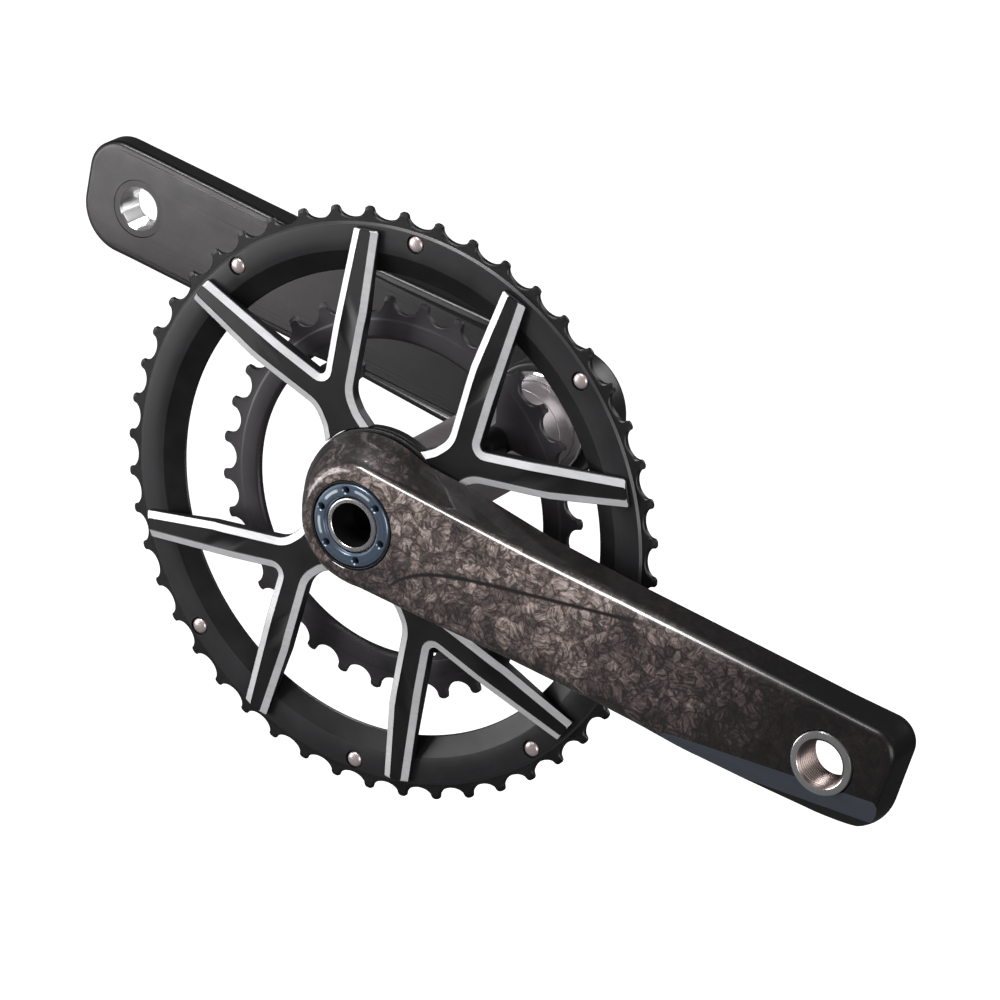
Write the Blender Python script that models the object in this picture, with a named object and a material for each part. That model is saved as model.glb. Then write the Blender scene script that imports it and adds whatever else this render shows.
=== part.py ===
"""Two-ring road bicycle crankset.

The spindle axis is the world Y axis, with the origin midway between the bottom
bracket's bearings. The drive side faces -Y, the drive arm points along +X, the
other arm along -X, and +Z is up. Angles in the ring plane run from +X to +Z.
"""

import math

import bmesh
import bpy
from mathutils import Matrix, Vector
from mathutils.geometry import tessellate_polygon

MM = 0.001
TURN = 2 * math.pi
GAP = 0.3 * MM

# Arms and spindle
ARM_LENGTH = 172.5 * MM
HUB_RADIUS = 21.5 * MM
HUB_FACE_RADIUS = 18.8 * MM
HUB_BACK_RADIUS = 26.2 * MM
ARM_HALF_HEIGHT = 19.5 * MM
ARM_END = 23.5 * MM
PEDAL_FACE_Y = 72.8 * MM
HUB_FACE_Y = 69.2 * MM
ARM_FACE_RISE = 3.0 * MM
PEDAL_BACK_Y = 61.5 * MM
DRIVE_HUB_BACK_Y = 54.6 * MM
NONDRIVE_BACK_Y = 56.0 * MM
NONDRIVE_BOSS_Y = 46.0 * MM
SPINDLE_RADIUS = 15.0 * MM
SPINDLE_BORE = 12.5 * MM
SHOULDER_Y = 45.5 * MM
NOSE_END_Y = 59.2 * MM
NOSE_RADIUS = 13.0 * MM
BOLT_THREAD_RADIUS = 7.7 * MM
PEDAL_INSERT_RADIUS = 10.2 * MM
PEDAL_THREAD_RADIUS = 7.15 * MM

# Hub insert, bolt and extractor ring
INSERT_RADIUS = 17.5 * MM
INSERT_LIP_RADIUS = 14.4 * MM
MOUNT_SPLINE_RADIUS = 17.0 * MM
LOCK_THREAD_RADIUS = 16.1 * MM
EXTRACTOR_RADIUS = 13.6 * MM
EXTRACTOR_HOLE = 9.2 * MM
EXTRACTOR_DEPTH = 4.4 * MM
PIN_HOLE_CIRCLE = 11.8 * MM
PIN_HOLE_RADIUS = 1.15 * MM
PIN_HOLE_ANGLE = math.radians(52.5)
PIN_HOLES = 6
BOLT_HEAD_RADIUS = 8.8 * MM
BOLT_FLANGE_RADIUS = 10.8 * MM
BOLT_RECESS_RADIUS = 7.1 * MM
HEX_ACROSS_FLATS = 10.0 * MM
SEAT_Y = 61.5 * MM

# Chainrings
CHAIN_PITCH = 12.7 * MM
ROLLER_SEAT = 3.8 * MM
SEAT_HALF_WIDTH = 4.9 * MM
TIP_WIDTH = 2.0 * MM
TOOTH_THICKNESS = 2.0 * MM
OUTER_TEETH = 48
OUTER_PHASE = math.radians(2.75)
OUTER_TIP = 97.2 * MM
OUTER_TOOTH_Y = -47.8 * MM
BAND_INNER = 83.0 * MM
BAND_SLOPE_INNER = 76.3 * MM
BAND_OUTER = 92.3 * MM
BAND_FACE_Y = -49.5 * MM
BAND_EDGE_Y = -47.0 * MM
BAND_BACK_Y = -46.0 * MM
INNER_TEETH = 32
INNER_PHASE = math.radians(6.2)
INNER_TIP = 66.2 * MM
INNER_TOOTH_Y = -39.9 * MM
INNER_EDGE = 52.2 * MM
INNER_FACE_Y = -41.2 * MM
INNER_BACK_Y = -38.6 * MM

# Spider
SPIDER_ANGLES = [math.radians(a) for a in (50.2, 129.8, 230.2, 309.8)]
SPIDER_HUB_RADIUS = 27.0 * MM
SPIDER_FRONT_Y = -54.0 * MM
SPIDER_END_Y = -51.7 * MM
SPIDER_HUB_BACK_Y = -49.0 * MM
SPIDER_LEG_BACK_Y = BAND_FACE_Y - GAP
SPIDER_BEND_RADIUS = 60.0 * MM
SPIDER_END_RADIUS = 90.5 * MM
RING_BOLT_RADIUS = 44.0 * MM
RING_BOSS_RADIUS = 4.8 * MM
RING_BOLT_SHANK = 2.6 * MM

# Long chamfer of the drive arm: where it crosses the outer face, and how it falls back
FACET_START_X = 110.7 * MM
FACET_START_Z = -16.6 * MM
FACET_CLIMB = 0.155
FACET_SLOPE = 0.63
FACET_EDGE_Y = -66.0 * MM
UNDERSIDE_SLOPE = 0.84

# Shift pins and chain pin
SHIFT_PIN_CIRCLE = 88.5 * MM
SHIFT_PIN_ANGLES = [math.radians(51.8 + 45 * k) for k in (0, 1, 2, 4, 5, 6)]
SHIFT_PIN_HEAD = 2.5 * MM
SHIFT_PIN_SHANK = 1.5 * MM
CHAIN_PIN_CIRCLE = 86.5 * MM
CHAIN_PIN_RADIUS = 2.4 * MM

# Bearing covers
BEARING_FACE_Y = 43.25 * MM
COVER_DEPTH = 1.5 * MM
COVER_RADIUS = 18.0 * MM
COVER_PLATE = 0.7 * MM
SEAL_OUTER = 16.9 * MM
RUNNING_RADIUS = 15.3 * MM
WASHER_RADIUS = 17.8 * MM

ROUND = 40
HIDDEN_ROUND = 24
SMALL_ROUND = 16


def clear_scene():
    for thing in list(bpy.data.objects):
        bpy.data.objects.remove(thing, do_unlink=True)


def material(name, color, roughness, metallic, coat=0.0):
    made = bpy.data.materials.new(name)
    made.use_nodes = True
    shader = made.node_tree.nodes["Principled BSDF"]
    shader.inputs["Base Color"].default_value = (*color, 1)
    shader.inputs["Roughness"].default_value = roughness
    shader.inputs["Metallic"].default_value = metallic
    shader.inputs["Coat Weight"].default_value = coat
    return made


def new_object(name, bm, mat, parent, sharp=30):
    """A mesh object on the world's origin, with outward faces and smooth shading."""
    bmesh.ops.remove_doubles(bm, verts=bm.verts, dist=1e-7)
    bmesh.ops.recalc_face_normals(bm, faces=bm.faces)
    if bm.calc_volume(signed=True) < 0:
        bmesh.ops.reverse_faces(bm, faces=bm.faces)
    mesh = bpy.data.meshes.new(name)
    bm.to_mesh(mesh)
    bm.free()
    mesh.shade_smooth()
    mesh.set_sharp_from_angle(angle=math.radians(sharp))
    made = bpy.data.objects.new(name, mesh)
    bpy.context.scene.collection.objects.link(made)
    if mat:
        made.data.materials.append(mat)
    made.parent = parent
    return made


def cutter(name, bm):
    """A hidden helper solid for a Boolean."""
    made = new_object(name, bm, None, None)
    made.hide_render = True
    made.display_type = "WIRE"
    return made


def boolean(target, tool, operation="DIFFERENCE"):
    made = target.modifiers.new(tool.name, "BOOLEAN")
    made.operation = operation
    made.solver = "EXACT"
    made.object = tool


def turned(profile, steps=ROUND):
    """The closed outline (radius, y) turned about the Y axis."""
    bm = bmesh.new()
    verts = [bm.verts.new((radius, y, 0)) for radius, y in profile]
    edges = [bm.edges.new((a, b)) for a, b in zip(verts, verts[1:] + verts[:1])]
    bmesh.ops.spin(
        bm,
        geom=verts + edges,
        cent=(0, 0, 0),
        axis=(0, 1, 0),
        angle=TURN,
        steps=steps,
        use_merge=True,
    )
    return bm


def moved(bm, x=0.0, z=0.0):
    bmesh.ops.translate(bm, verts=bm.verts, vec=(x, 0, z))
    return bm


def cylinder(radius, y_low, y_high, steps=SMALL_ROUND):
    return turned([(0, y_low), (radius, y_low), (radius, y_high), (0, y_high)], steps)


def plate(outline, holes, y_front, y_back):
    """A flat plate between two Y planes. Outlines are lists of (x, z)."""
    loops = [outline] + holes
    flat = [Vector((x, z, 0)) for loop in loops for x, z in loop]
    bm = bmesh.new()
    front = [bm.verts.new((p.x, y_front, p.y)) for p in flat]
    back = [bm.verts.new((p.x, y_back, p.y)) for p in flat]
    polylines = [[Vector((x, z, 0)) for x, z in loop] for loop in loops]
    for a, b, c in tessellate_polygon(polylines):
        bm.faces.new((front[a], front[b], front[c]))
        bm.faces.new((back[c], back[b], back[a]))
    start = 0
    for loop in loops:
        for i in range(len(loop)):
            a = start + i
            b = start + (i + 1) % len(loop)
            bm.faces.new((front[a], front[b], back[b], back[a]))
        start += len(loop)
    return bm


def joined(pieces):
    """Separate closed shapes gathered in one mesh, to cut with one Boolean."""
    bm = bmesh.new()
    for piece in pieces:
        mesh = bpy.data.meshes.new("piece")
        piece.to_mesh(mesh)
        piece.free()
        bm.from_mesh(mesh)
        bpy.data.meshes.remove(mesh)
    return bm


def circle(radius, steps=ROUND, x=0.0, z=0.0):
    return [
        (x + radius * math.cos(TURN * i / steps), z + radius * math.sin(TURN * i / steps))
        for i in range(steps)
    ]


def polar(radius, angle):
    return (radius * math.cos(angle), radius * math.sin(angle))


def turn_in_ring_plane(thing, angle):
    """Turns an object about the spindle axis, from +X to +Z."""
    thing.rotation_euler.y = -angle


def splines(radius, depth, count):
    """The outline of a splined shaft."""
    points = []
    for i in range(count):
        for share, high in ((0.02, 0), (0.42, 0), (0.55, 1), (0.89, 1)):
            points.append(polar(radius + high * depth, TURN * (i + share) / count))
    return points


def rounded(corners, steps):
    """A closed outline from (x, z, radius) corners, each one rounded by an arc."""
    points = []
    for i, (x, z, radius) in enumerate(corners):
        here = Vector((x, z))
        before = (Vector(corners[i - 1][:2]) - here).normalized()
        after = (Vector(corners[(i + 1) % len(corners)][:2]) - here).normalized()
        half = before.angle(after) / 2
        if radius <= 0:
            points.append((x, z))
            continue
        centre = here + (before + after).normalized() * radius / math.sin(half)
        first = here + before * radius / math.tan(half) - centre
        last = here + after * radius / math.tan(half) - centre
        sweep = first.angle_signed(last)
        for k in range(steps + 1):
            spoke = Vector(first)
            spoke.rotate(Matrix.Rotation(-sweep * k / steps, 2))
            points.append(tuple(centre + spoke))
    return points


def inset(corners, depth_at):
    """The corners of the same outline, moved inwards by the depth at each one's x."""
    made = []
    count = len(corners)
    for i, (x, z, radius) in enumerate(corners):
        depth = depth_at(x)
        here = Vector((x, z))
        back = (here - Vector(corners[i - 1][:2])).normalized()
        ahead = (Vector(corners[(i + 1) % count][:2]) - here).normalized()
        inward = Vector((back.y, -back.x)) + Vector((ahead.y, -ahead.x))
        inward *= depth / (1 + back.dot(ahead))
        made.append((x + inward.x, z + inward.y, max(radius - depth, 0.02 * MM if radius else 0)))
    return made


def layered(layers, arc_steps):
    """A solid lofted through outlines. Layers are (corners, height at x)."""
    bm = bmesh.new()
    loops = []
    for corners, height in layers:
        outline = rounded(corners, arc_steps)
        loops.append([bm.verts.new((x, height(x), z)) for x, z in outline])
    for low, high in zip(loops, loops[1:]):
        for i in range(len(low)):
            j = (i + 1) % len(low)
            bm.faces.new((low[i], low[j], high[j], high[i]))
    for loop in (loops[0], loops[-1]):
        flat = [Vector((v.co.x, v.co.z, 0)) for v in loop]
        for a, b, c in tessellate_polygon([flat]):
            bm.faces.new((loop[a], loop[b], loop[c]))
    return bm


def between(x, x0, y0, x1, y1):
    """A straight ramp from y0 at x0 to y1 at x1, level beyond them."""
    share = min(max((x - x0) / (x1 - x0), 0), 1)
    return y0 + (y1 - y0) * share


# Arms


def mirrored_down(corners):
    """The same corners below the arm's middle line, in the opposite order."""
    return [(x, -z, radius) for x, z, radius in reversed(corners)]


def nondrive_corners(share):
    """The plain arm's outline along -X, the same at every depth."""
    tip = ARM_LENGTH + ARM_END
    h = ARM_HALF_HEIGHT
    hub = [
        (-HUB_RADIUS, HUB_RADIUS, HUB_RADIUS - 0.2 * MM),
        (0.2 * ARM_LENGTH, HUB_RADIUS - 0.2 * MM, 0),
        (0.55 * ARM_LENGTH, h - 0.2 * MM, 0),
    ]
    ends = [(tip, h + 0.4 * MM, 12 * MM), (tip - 2 * MM, -h + 0.2 * MM, 16 * MM)]
    corners = hub + ends + mirrored_down(hub)
    return [(-x, z, radius) for x, z, radius in reversed(corners)]


def drive_corners(share):
    """The drive arm's outline at one depth: 0 is the outer face, 1 is the back.

    The hub flares towards the rings, and the shank and the tip widen a little.
    """
    face_hub = [
        (-HUB_FACE_RADIUS, HUB_FACE_RADIUS + 0.3 * MM, HUB_FACE_RADIUS - 0.1 * MM),
        (13.5 * MM, 19.2 * MM, 6 * MM),
        (30 * MM, 18.9 * MM, 0),
        (62 * MM, 18.6 * MM, 0),
        (95 * MM, 18.9 * MM, 0),
    ]
    face_ends = [
        (150 * MM, 18.6 * MM, 0),
        (195.2 * MM, 18.2 * MM, 8 * MM),
        (191.5 * MM, -20.0 * MM, 16 * MM),
        (150 * MM, -19.4 * MM, 0),
    ]
    back_hub = [
        (-HUB_BACK_RADIUS, 1.3 * HUB_BACK_RADIUS, HUB_BACK_RADIUS),
        (13.5 * MM, 23.5 * MM, 6 * MM),
        (30 * MM, 22.8 * MM, 0),
        (62 * MM, 20.3 * MM, 0),
        (95 * MM, 20.0 * MM, 0),
    ]
    back_ends = [
        (150 * MM, 20.6 * MM, 0),
        (196.8 * MM, 20.9 * MM, 8 * MM),
        (193.5 * MM, -22.3 * MM, 18 * MM),
        (150 * MM, -21.4 * MM, 0),
    ]
    face = face_hub + face_ends + mirrored_down(face_hub)
    back = back_hub + back_ends + mirrored_down(back_hub)
    bulged = share + 0.3 * share * (1 - share)
    made = []
    for front_corner, back_corner in zip(face, back):
        pairs = zip(front_corner, back_corner)
        made.append(tuple(a + (b - a) * bulged for a, b in pairs))
    return made


def arm_face_y(x):
    """Distance of an outer face from the middle: it leans outwards to the pedal."""
    return HUB_FACE_Y + ARM_FACE_RISE * x / ARM_LENGTH


def even_softness(x):
    return 1.4


def drive_softness(x):
    """How broad the drive arm's outer edge is rounded: broadest at mid-arm."""
    return between(x, 30 * MM, 1.0, 90 * MM, 2.8) * between(x, 110 * MM, 1.0, 165 * MM, 0.25)


def arm_layers(side, corners_at, back_at_hub, softness):
    """Outlines and heights from the outer face to the inner face."""

    def back(x):
        return between(side * x, 0.2 * ARM_LENGTH, back_at_hub, ARM_LENGTH, PEDAL_BACK_Y)

    def layer(depth, share, step):
        def height(x):
            face = arm_face_y(side * x)
            sunk = face - step * softness(x)
            return -side * (sunk * (1 - share) + back(x) * share)

        corners = corners_at(share)
        return inset(corners, lambda x: depth * softness(x)), height

    edge = 2.0 * MM
    return [
        layer(edge, 0, 0),
        layer(0.5 * edge, 0, 0.14 * edge),
        layer(0.13 * edge, 0, 0.5 * edge),
        layer(0, 0.08, 0.85 * edge),
        layer(0, 0.3, 0.85 * edge),
        layer(0, 0.6, 0.85 * edge),
        layer(0, 0.96, 0.85 * edge),
        layer(0.3 * edge, 1, 0),
    ]


def pedal_hole_cutter(name, side):
    bm = cylinder(PEDAL_INSERT_RADIUS + GAP, -80 * MM, -50 * MM, ROUND)
    if side < 0:
        bm = cylinder(PEDAL_INSERT_RADIUS + GAP, 50 * MM, 80 * MM, ROUND)
    return cutter(name, moved(bm, side * ARM_LENGTH))


def drive_arm(mat, parent):
    layers = arm_layers(1, drive_corners, DRIVE_HUB_BACK_Y, drive_softness)
    bm = layered(layers, 10)
    arm = new_object("drive_arm", bm, mat, parent)
    socket = turned(
        [
            (0, -80 * MM),
            (INSERT_LIP_RADIUS + GAP, -80 * MM),
            (INSERT_LIP_RADIUS + GAP, -66 * MM - GAP),
            (INSERT_RADIUS + GAP, -66 * MM - GAP),
            (INSERT_RADIUS + GAP, -50 * MM),
            (0, -50 * MM),
        ]
    )
    boolean(arm, cutter("cut_drive_hub", socket))
    boolean(arm, pedal_hole_cutter("cut_drive_pedal", 1))
    boolean(arm, facet_cutter())


def facet_cutter():
    """What the long chamfer low on the outer face leaves out, out to past the tip."""
    bm = bmesh.new()
    outside_y, below = -80 * MM, -40 * MM
    inside_y = -56 * MM
    rings = []
    for x in (80 * MM, 205 * MM):
        top_y = -arm_face_y(x)
        top_z = FACET_START_Z + (x - FACET_START_X) * FACET_CLIMB
        edge_z = top_z - (FACET_EDGE_Y - top_y) / FACET_SLOPE
        low_z = edge_z - (inside_y - FACET_EDGE_Y) / UNDERSIDE_SLOPE
        section = [
            (top_y, top_z),
            (FACET_EDGE_Y, edge_z),
            (inside_y, low_z),
            (inside_y, below),
            (outside_y, below),
            (outside_y, top_z),
        ]
        rings.append([bm.verts.new((x, y, z)) for y, z in section])
    near, far = rings
    bm.faces.new(near)
    bm.faces.new(reversed(far))
    for i in range(len(near)):
        j = (i + 1) % len(near)
        bm.faces.new((near[i], far[i], far[j], near[j]))
    return cutter("cut_facet", bm)


def nondrive_arm(mat, parent):
    layers = arm_layers(-1, nondrive_corners, NONDRIVE_BACK_Y, even_softness)
    bm = layered(layers, 10)
    arm = new_object("nondrive_arm", bm, mat, parent)
    chamfer = 1.5 * MM
    boss_radius = HUB_RADIUS - 0.9 * MM
    boss = turned(
        [
            (0, NONDRIVE_BOSS_Y),
            (boss_radius - chamfer, NONDRIVE_BOSS_Y),
            (boss_radius, NONDRIVE_BOSS_Y + chamfer),
            (boss_radius, 62 * MM),
            (0, 62 * MM),
        ]
    )
    boolean(arm, cutter("add_boss", boss), "UNION")
    socket = cylinder(INSERT_RADIUS + GAP, 40 * MM, 62 * MM, ROUND)
    boolean(arm, cutter("cut_nondrive_hub", socket))
    boolean(arm, pedal_hole_cutter("cut_nondrive_pedal", -1))


def pedal_insert(name, side, mat, parent):
    """The threaded metal bush that the pedal screws into."""
    chamfer = 0.6 * MM
    outer, inner = PEDAL_FACE_Y, PEDAL_BACK_Y - 0.2 * MM
    profile = [
        (PEDAL_THREAD_RADIUS + chamfer, outer),
        (PEDAL_INSERT_RADIUS - 0.3 * MM, outer),
        (PEDAL_INSERT_RADIUS, outer - 0.3 * MM),
        (PEDAL_INSERT_RADIUS, inner),
        (PEDAL_THREAD_RADIUS + chamfer, inner),
        (PEDAL_THREAD_RADIUS, inner + chamfer),
        (PEDAL_THREAD_RADIUS, outer - chamfer),
    ]
    bm = turned([(radius, -side * y) for radius, y in profile])
    made = new_object(name, bm, mat, parent)
    made.location.x = side * ARM_LENGTH


# Spindle and what joins it to the arms


def spindle(mat, parent):
    nose_bore = BOLT_THREAD_RADIUS + GAP
    end = 61.4 * MM
    profile = [
        (nose_bore, -SHOULDER_Y),
        (SPINDLE_RADIUS - 0.5 * MM, -SHOULDER_Y),
        (SPINDLE_RADIUS, -SHOULDER_Y + 0.5 * MM),
        (SPINDLE_RADIUS, SHOULDER_Y),
        (SPINDLE_RADIUS - 1 * MM, SHOULDER_Y),
        (SPINDLE_RADIUS - 1 * MM, end),
        (SPINDLE_BORE, end),
        (SPINDLE_BORE, -36 * MM),
        (nose_bore, -38 * MM),
    ]
    made = new_object("spindle", turned(profile), mat, parent)
    nose = plate(
        splines(NOSE_RADIUS - 0.6 * MM, 1.0 * MM, 8),
        [circle(nose_bore, 32)],
        -NOSE_END_Y,
        -SHOULDER_Y + 2 * MM,
    )
    boolean(made, cutter("add_nose", nose), "UNION")


def drive_hub_insert(mat, parent):
    """Bonded in the drive arm. It takes the spindle's splines and carries the rings."""
    profile = [
        (EXTRACTOR_RADIUS + GAP, -HUB_FACE_Y),
        (INSERT_LIP_RADIUS, -HUB_FACE_Y),
        (INSERT_LIP_RADIUS, -66 * MM),
        (INSERT_RADIUS, -66 * MM),
        (INSERT_RADIUS, SPIDER_FRONT_Y - GAP),
        (LOCK_THREAD_RADIUS, SPIDER_FRONT_Y - GAP),
        (LOCK_THREAD_RADIUS, -SHOULDER_Y - GAP),
        (BOLT_THREAD_RADIUS + GAP, -SHOULDER_Y - GAP),
        (BOLT_THREAD_RADIUS + GAP, -SEAT_Y),
        (EXTRACTOR_RADIUS + GAP, -SEAT_Y),
    ]
    made = new_object("drive_hub_insert", turned(profile), mat, parent)
    outside = plate(
        splines(MOUNT_SPLINE_RADIUS - 0.5 * MM, 0.9 * MM, 8),
        [circle(LOCK_THREAD_RADIUS - 1 * MM, 32)],
        SPIDER_FRONT_Y - 1 * MM,
        SPIDER_HUB_BACK_Y,
    )
    boolean(made, cutter("add_mount_splines", outside), "UNION")
    inside = plate(
        splines(NOSE_RADIUS - 0.6 * MM + GAP, 1.0 * MM, 8),
        [],
        -NOSE_END_Y - GAP,
        -SHOULDER_Y + 1 * MM,
    )
    boolean(made, cutter("cut_nose_splines", inside))


def nondrive_hub_insert(mat, parent):
    """The metal cup bonded in the other arm, round the spindle's fixed end."""
    lip = 0.4 * MM
    profile = [
        (SPINDLE_RADIUS - 1 * MM + GAP, NONDRIVE_BOSS_Y - 0.1 * MM),
        (INSERT_RADIUS - lip, NONDRIVE_BOSS_Y - 0.1 * MM),
        (INSERT_RADIUS, NONDRIVE_BOSS_Y + lip),
        (INSERT_RADIUS, 61.7 * MM),
        (SPINDLE_RADIUS - 1 * MM + GAP, 61.7 * MM),
    ]
    new_object("nondrive_hub_insert", turned(profile), mat, parent)


def crank_bolt(mat, parent):
    head_y = -HUB_FACE_Y + 0.3 * MM
    flange_y = -HUB_FACE_Y + EXTRACTOR_DEPTH + GAP + 0.2 * MM
    under_y = -SEAT_Y - 1.3 * MM
    end_y = -40 * MM
    bevel = 0.5 * MM
    profile = [
        (0, head_y),
        (BOLT_HEAD_RADIUS - bevel, head_y),
        (BOLT_HEAD_RADIUS, head_y + bevel),
        (BOLT_HEAD_RADIUS, flange_y),
        (BOLT_FLANGE_RADIUS, flange_y),
        (BOLT_FLANGE_RADIUS, under_y),
        (BOLT_THREAD_RADIUS, under_y),
        (BOLT_THREAD_RADIUS, end_y - 1 * MM),
        (BOLT_THREAD_RADIUS - 1 * MM, end_y),
        (0, end_y),
    ]
    made = new_object("crank_bolt", turned(profile), mat, parent)
    recess = cylinder(BOLT_RECESS_RADIUS, head_y - 5 * MM, head_y + 1.6 * MM, 32)
    boolean(made, cutter("cut_recess", recess))
    across_corners = HEX_ACROSS_FLATS / math.cos(math.pi / 6)
    socket = plate(circle(across_corners / 2, 6), [], head_y - 5 * MM, head_y + 12 * MM)
    boolean(made, cutter("cut_hex", socket))


def extractor_ring(mat, parent):
    """Screws in over the bolt's flange, so that undoing the bolt pulls the arm off."""
    front = -HUB_FACE_Y
    back = front + EXTRACTOR_DEPTH
    bevel = 0.4 * MM
    profile = [
        (EXTRACTOR_HOLE, back),
        (EXTRACTOR_HOLE, front + bevel),
        (EXTRACTOR_HOLE + bevel, front),
        (EXTRACTOR_RADIUS - bevel, front),
        (EXTRACTOR_RADIUS, front + bevel),
        (EXTRACTOR_RADIUS, back),
    ]
    made = new_object("extractor_ring", turned(profile), mat, parent)
    for i in range(PIN_HOLES):
        x, z = polar(PIN_HOLE_CIRCLE, PIN_HOLE_ANGLE + TURN * i / PIN_HOLES)
        hole = moved(cylinder(PIN_HOLE_RADIUS, front - 2 * MM, front + 3 * MM, 12), x, z)
        boolean(made, cutter("cut_pin_hole_%d" % i, hole))


def flat_ring(name, inner, outer, y_low, y_high, mat, parent, steps=HIDDEN_ROUND):
    profile = [(inner, y_low), (outer, y_low), (outer, y_high), (inner, y_high)]
    return new_object(name, turned(profile, steps), mat, parent)


def lockring(mat, parent):
    """Holds the ring carrier on the hub insert, from behind. Its rim is notched."""
    outer = 21.5 * MM
    y_low, y_high = SPIDER_HUB_BACK_Y + GAP, -46.2 * MM
    inner = LOCK_THREAD_RADIUS + GAP
    made = flat_ring("chainring_lockring", inner, outer, y_low, y_high, mat, parent, ROUND)
    notches = 8
    for i in range(notches):
        x, z = polar(outer + 0.6 * MM, TURN * (i + 0.3) / notches)
        notch = moved(cylinder(1.8 * MM, y_low - 1 * MM, y_high + 1 * MM, 12), x, z)
        boolean(made, cutter("cut_notch_%d" % i, notch))


def wave_washer(mat, parent):
    """A thin sprung ring with three waves."""
    inner, outer = SPINDLE_RADIUS + 0.4 * MM, WASHER_RADIUS
    middle, wave, half = 45.35 * MM, 0.14 * MM, 0.15 * MM
    bm = turned(
        [
            (inner, middle - half),
            (outer, middle - half),
            (outer, middle + half),
            (inner, middle + half),
        ],
        36,
    )
    for v in bm.verts:
        v.co.y += wave * math.sin(3 * math.atan2(v.co.z, v.co.x))
    new_object("wave_washer", bm, mat, parent)


# Chainrings


def toothed(teeth, phase, tip):
    """The outline of a chainring: roller seats between blunt tooth tips."""
    bottom = CHAIN_PITCH / (2 * math.sin(math.pi / teeth)) - ROLLER_SEAT
    brow = tip - 0.6 * MM
    points = []
    for i in range(teeth):
        tooth = phase + TURN * i / teeth
        for across in (-0.5, 0.5):
            points.append(polar(tip, tooth + across * TIP_WIDTH / tip))
        seat = tooth + math.pi / teeth
        outward = Vector(polar(1, seat))
        along = Vector((-outward.y, outward.x))
        for degrees in (-90, -60, -30, 0, 30, 60, 90):
            swing = math.radians(degrees)
            point = outward * (brow - (brow - bottom) * math.cos(swing))
            points.append(tuple(point + along * SEAT_HALF_WIDTH * math.sin(swing)))
    return points


def outer_chainring(mat, parent):
    outline = toothed(OUTER_TEETH, OUTER_PHASE, OUTER_TIP)
    holes = [circle(BAND_SLOPE_INNER, 96)]
    for angle in SHIFT_PIN_ANGLES:
        x, z = polar(SHIFT_PIN_CIRCLE, angle)
        holes.append(circle(SHIFT_PIN_SHANK + GAP, 12, x, z))
    holes.append(circle(SHIFT_PIN_SHANK + GAP, 12, CHAIN_PIN_CIRCLE))
    bm = plate(outline, holes, BAND_FACE_Y, BAND_BACK_Y)
    made = new_object("outer_chainring", bm, mat, parent)
    slope = (BAND_EDGE_Y - BAND_FACE_Y) / (BAND_INNER - BAND_SLOPE_INNER)
    inside = BAND_SLOPE_INNER - 1 * MM
    cone = [
        (inside, BAND_FACE_Y - 2 * MM),
        (BAND_INNER, BAND_FACE_Y - 2 * MM),
        (BAND_INNER, BAND_FACE_Y),
        (inside, BAND_EDGE_Y + slope * 1 * MM),
    ]
    cuts = tooth_cuts(BAND_OUTER, OUTER_TOOTH_Y, 96) + [turned(cone, 96)]
    for angle in SHIFT_PIN_ANGLES:
        x, z = polar(SHIFT_PIN_CIRCLE, angle)
        sink = cylinder(SHIFT_PIN_HEAD + 0.6 * MM, BAND_FACE_Y - 3 * MM, BAND_FACE_Y + 0.7 * MM)
        cuts.append(moved(sink, x, z))
    boolean(made, cutter("cut_outer_ring", joined(cuts)))


def tabbed_hole():
    """The inner ring's opening: an arc between each two bolt tabs."""
    tab_half_angle = math.asin(11 * MM / INNER_EDGE)
    arc_steps, nose_steps = 12, 10
    points = []
    for i, angle in enumerate(SPIDER_ANGLES):
        cos, sin = polar(1, angle)
        neck = RING_BOLT_RADIUS + 3.4 * MM
        local = [(neck, -RING_BOSS_RADIUS)]
        for k in range(nose_steps + 1):
            x, z = polar(RING_BOSS_RADIUS, -math.pi * (0.5 + k / nose_steps))
            local.append((RING_BOLT_RADIUS + x, z))
        local.append((neck, RING_BOSS_RADIUS))
        points += [(x * cos - z * sin, x * sin + z * cos) for x, z in local]
        start = angle + tab_half_angle
        after = SPIDER_ANGLES[(i + 1) % len(SPIDER_ANGLES)]
        sweep = (after - tab_half_angle - start) % TURN
        for k in range(arc_steps + 1):
            points.append(polar(INNER_EDGE, start + sweep * k / arc_steps))
    return points


def inner_chainring(mat, parent):
    holes = [tabbed_hole()]
    for angle in SPIDER_ANGLES:
        x, z = polar(RING_BOLT_RADIUS, angle)
        holes.append(circle(RING_BOLT_SHANK + GAP, 12, x, z))
    outline = toothed(INNER_TEETH, INNER_PHASE, INNER_TIP)
    bm = plate(outline, holes, INNER_FACE_Y, INNER_BACK_Y)
    made = new_object("inner_chainring", bm, mat, parent)
    cuts = tooth_cuts(INNER_EDGE + 7.5 * MM, INNER_TOOTH_Y, 64)
    boolean(made, cutter("cut_inner_ring", joined(cuts)))


def tooth_cuts(rim, tooth_y, steps):
    """What thins a ring outside its rim down to the chain's width, on both sides."""
    half, slope = TOOTH_THICKNESS / 2, 0.6 * MM
    cuts = []
    for side in (-1, 1):
        face = tooth_y + side * half
        profile = [
            (rim, face),
            (rim - slope, face + side * 2 * MM),
            (110 * MM, face + side * 2 * MM),
            (110 * MM, face),
        ]
        cuts.append(turned(profile, steps))
    return cuts


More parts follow.
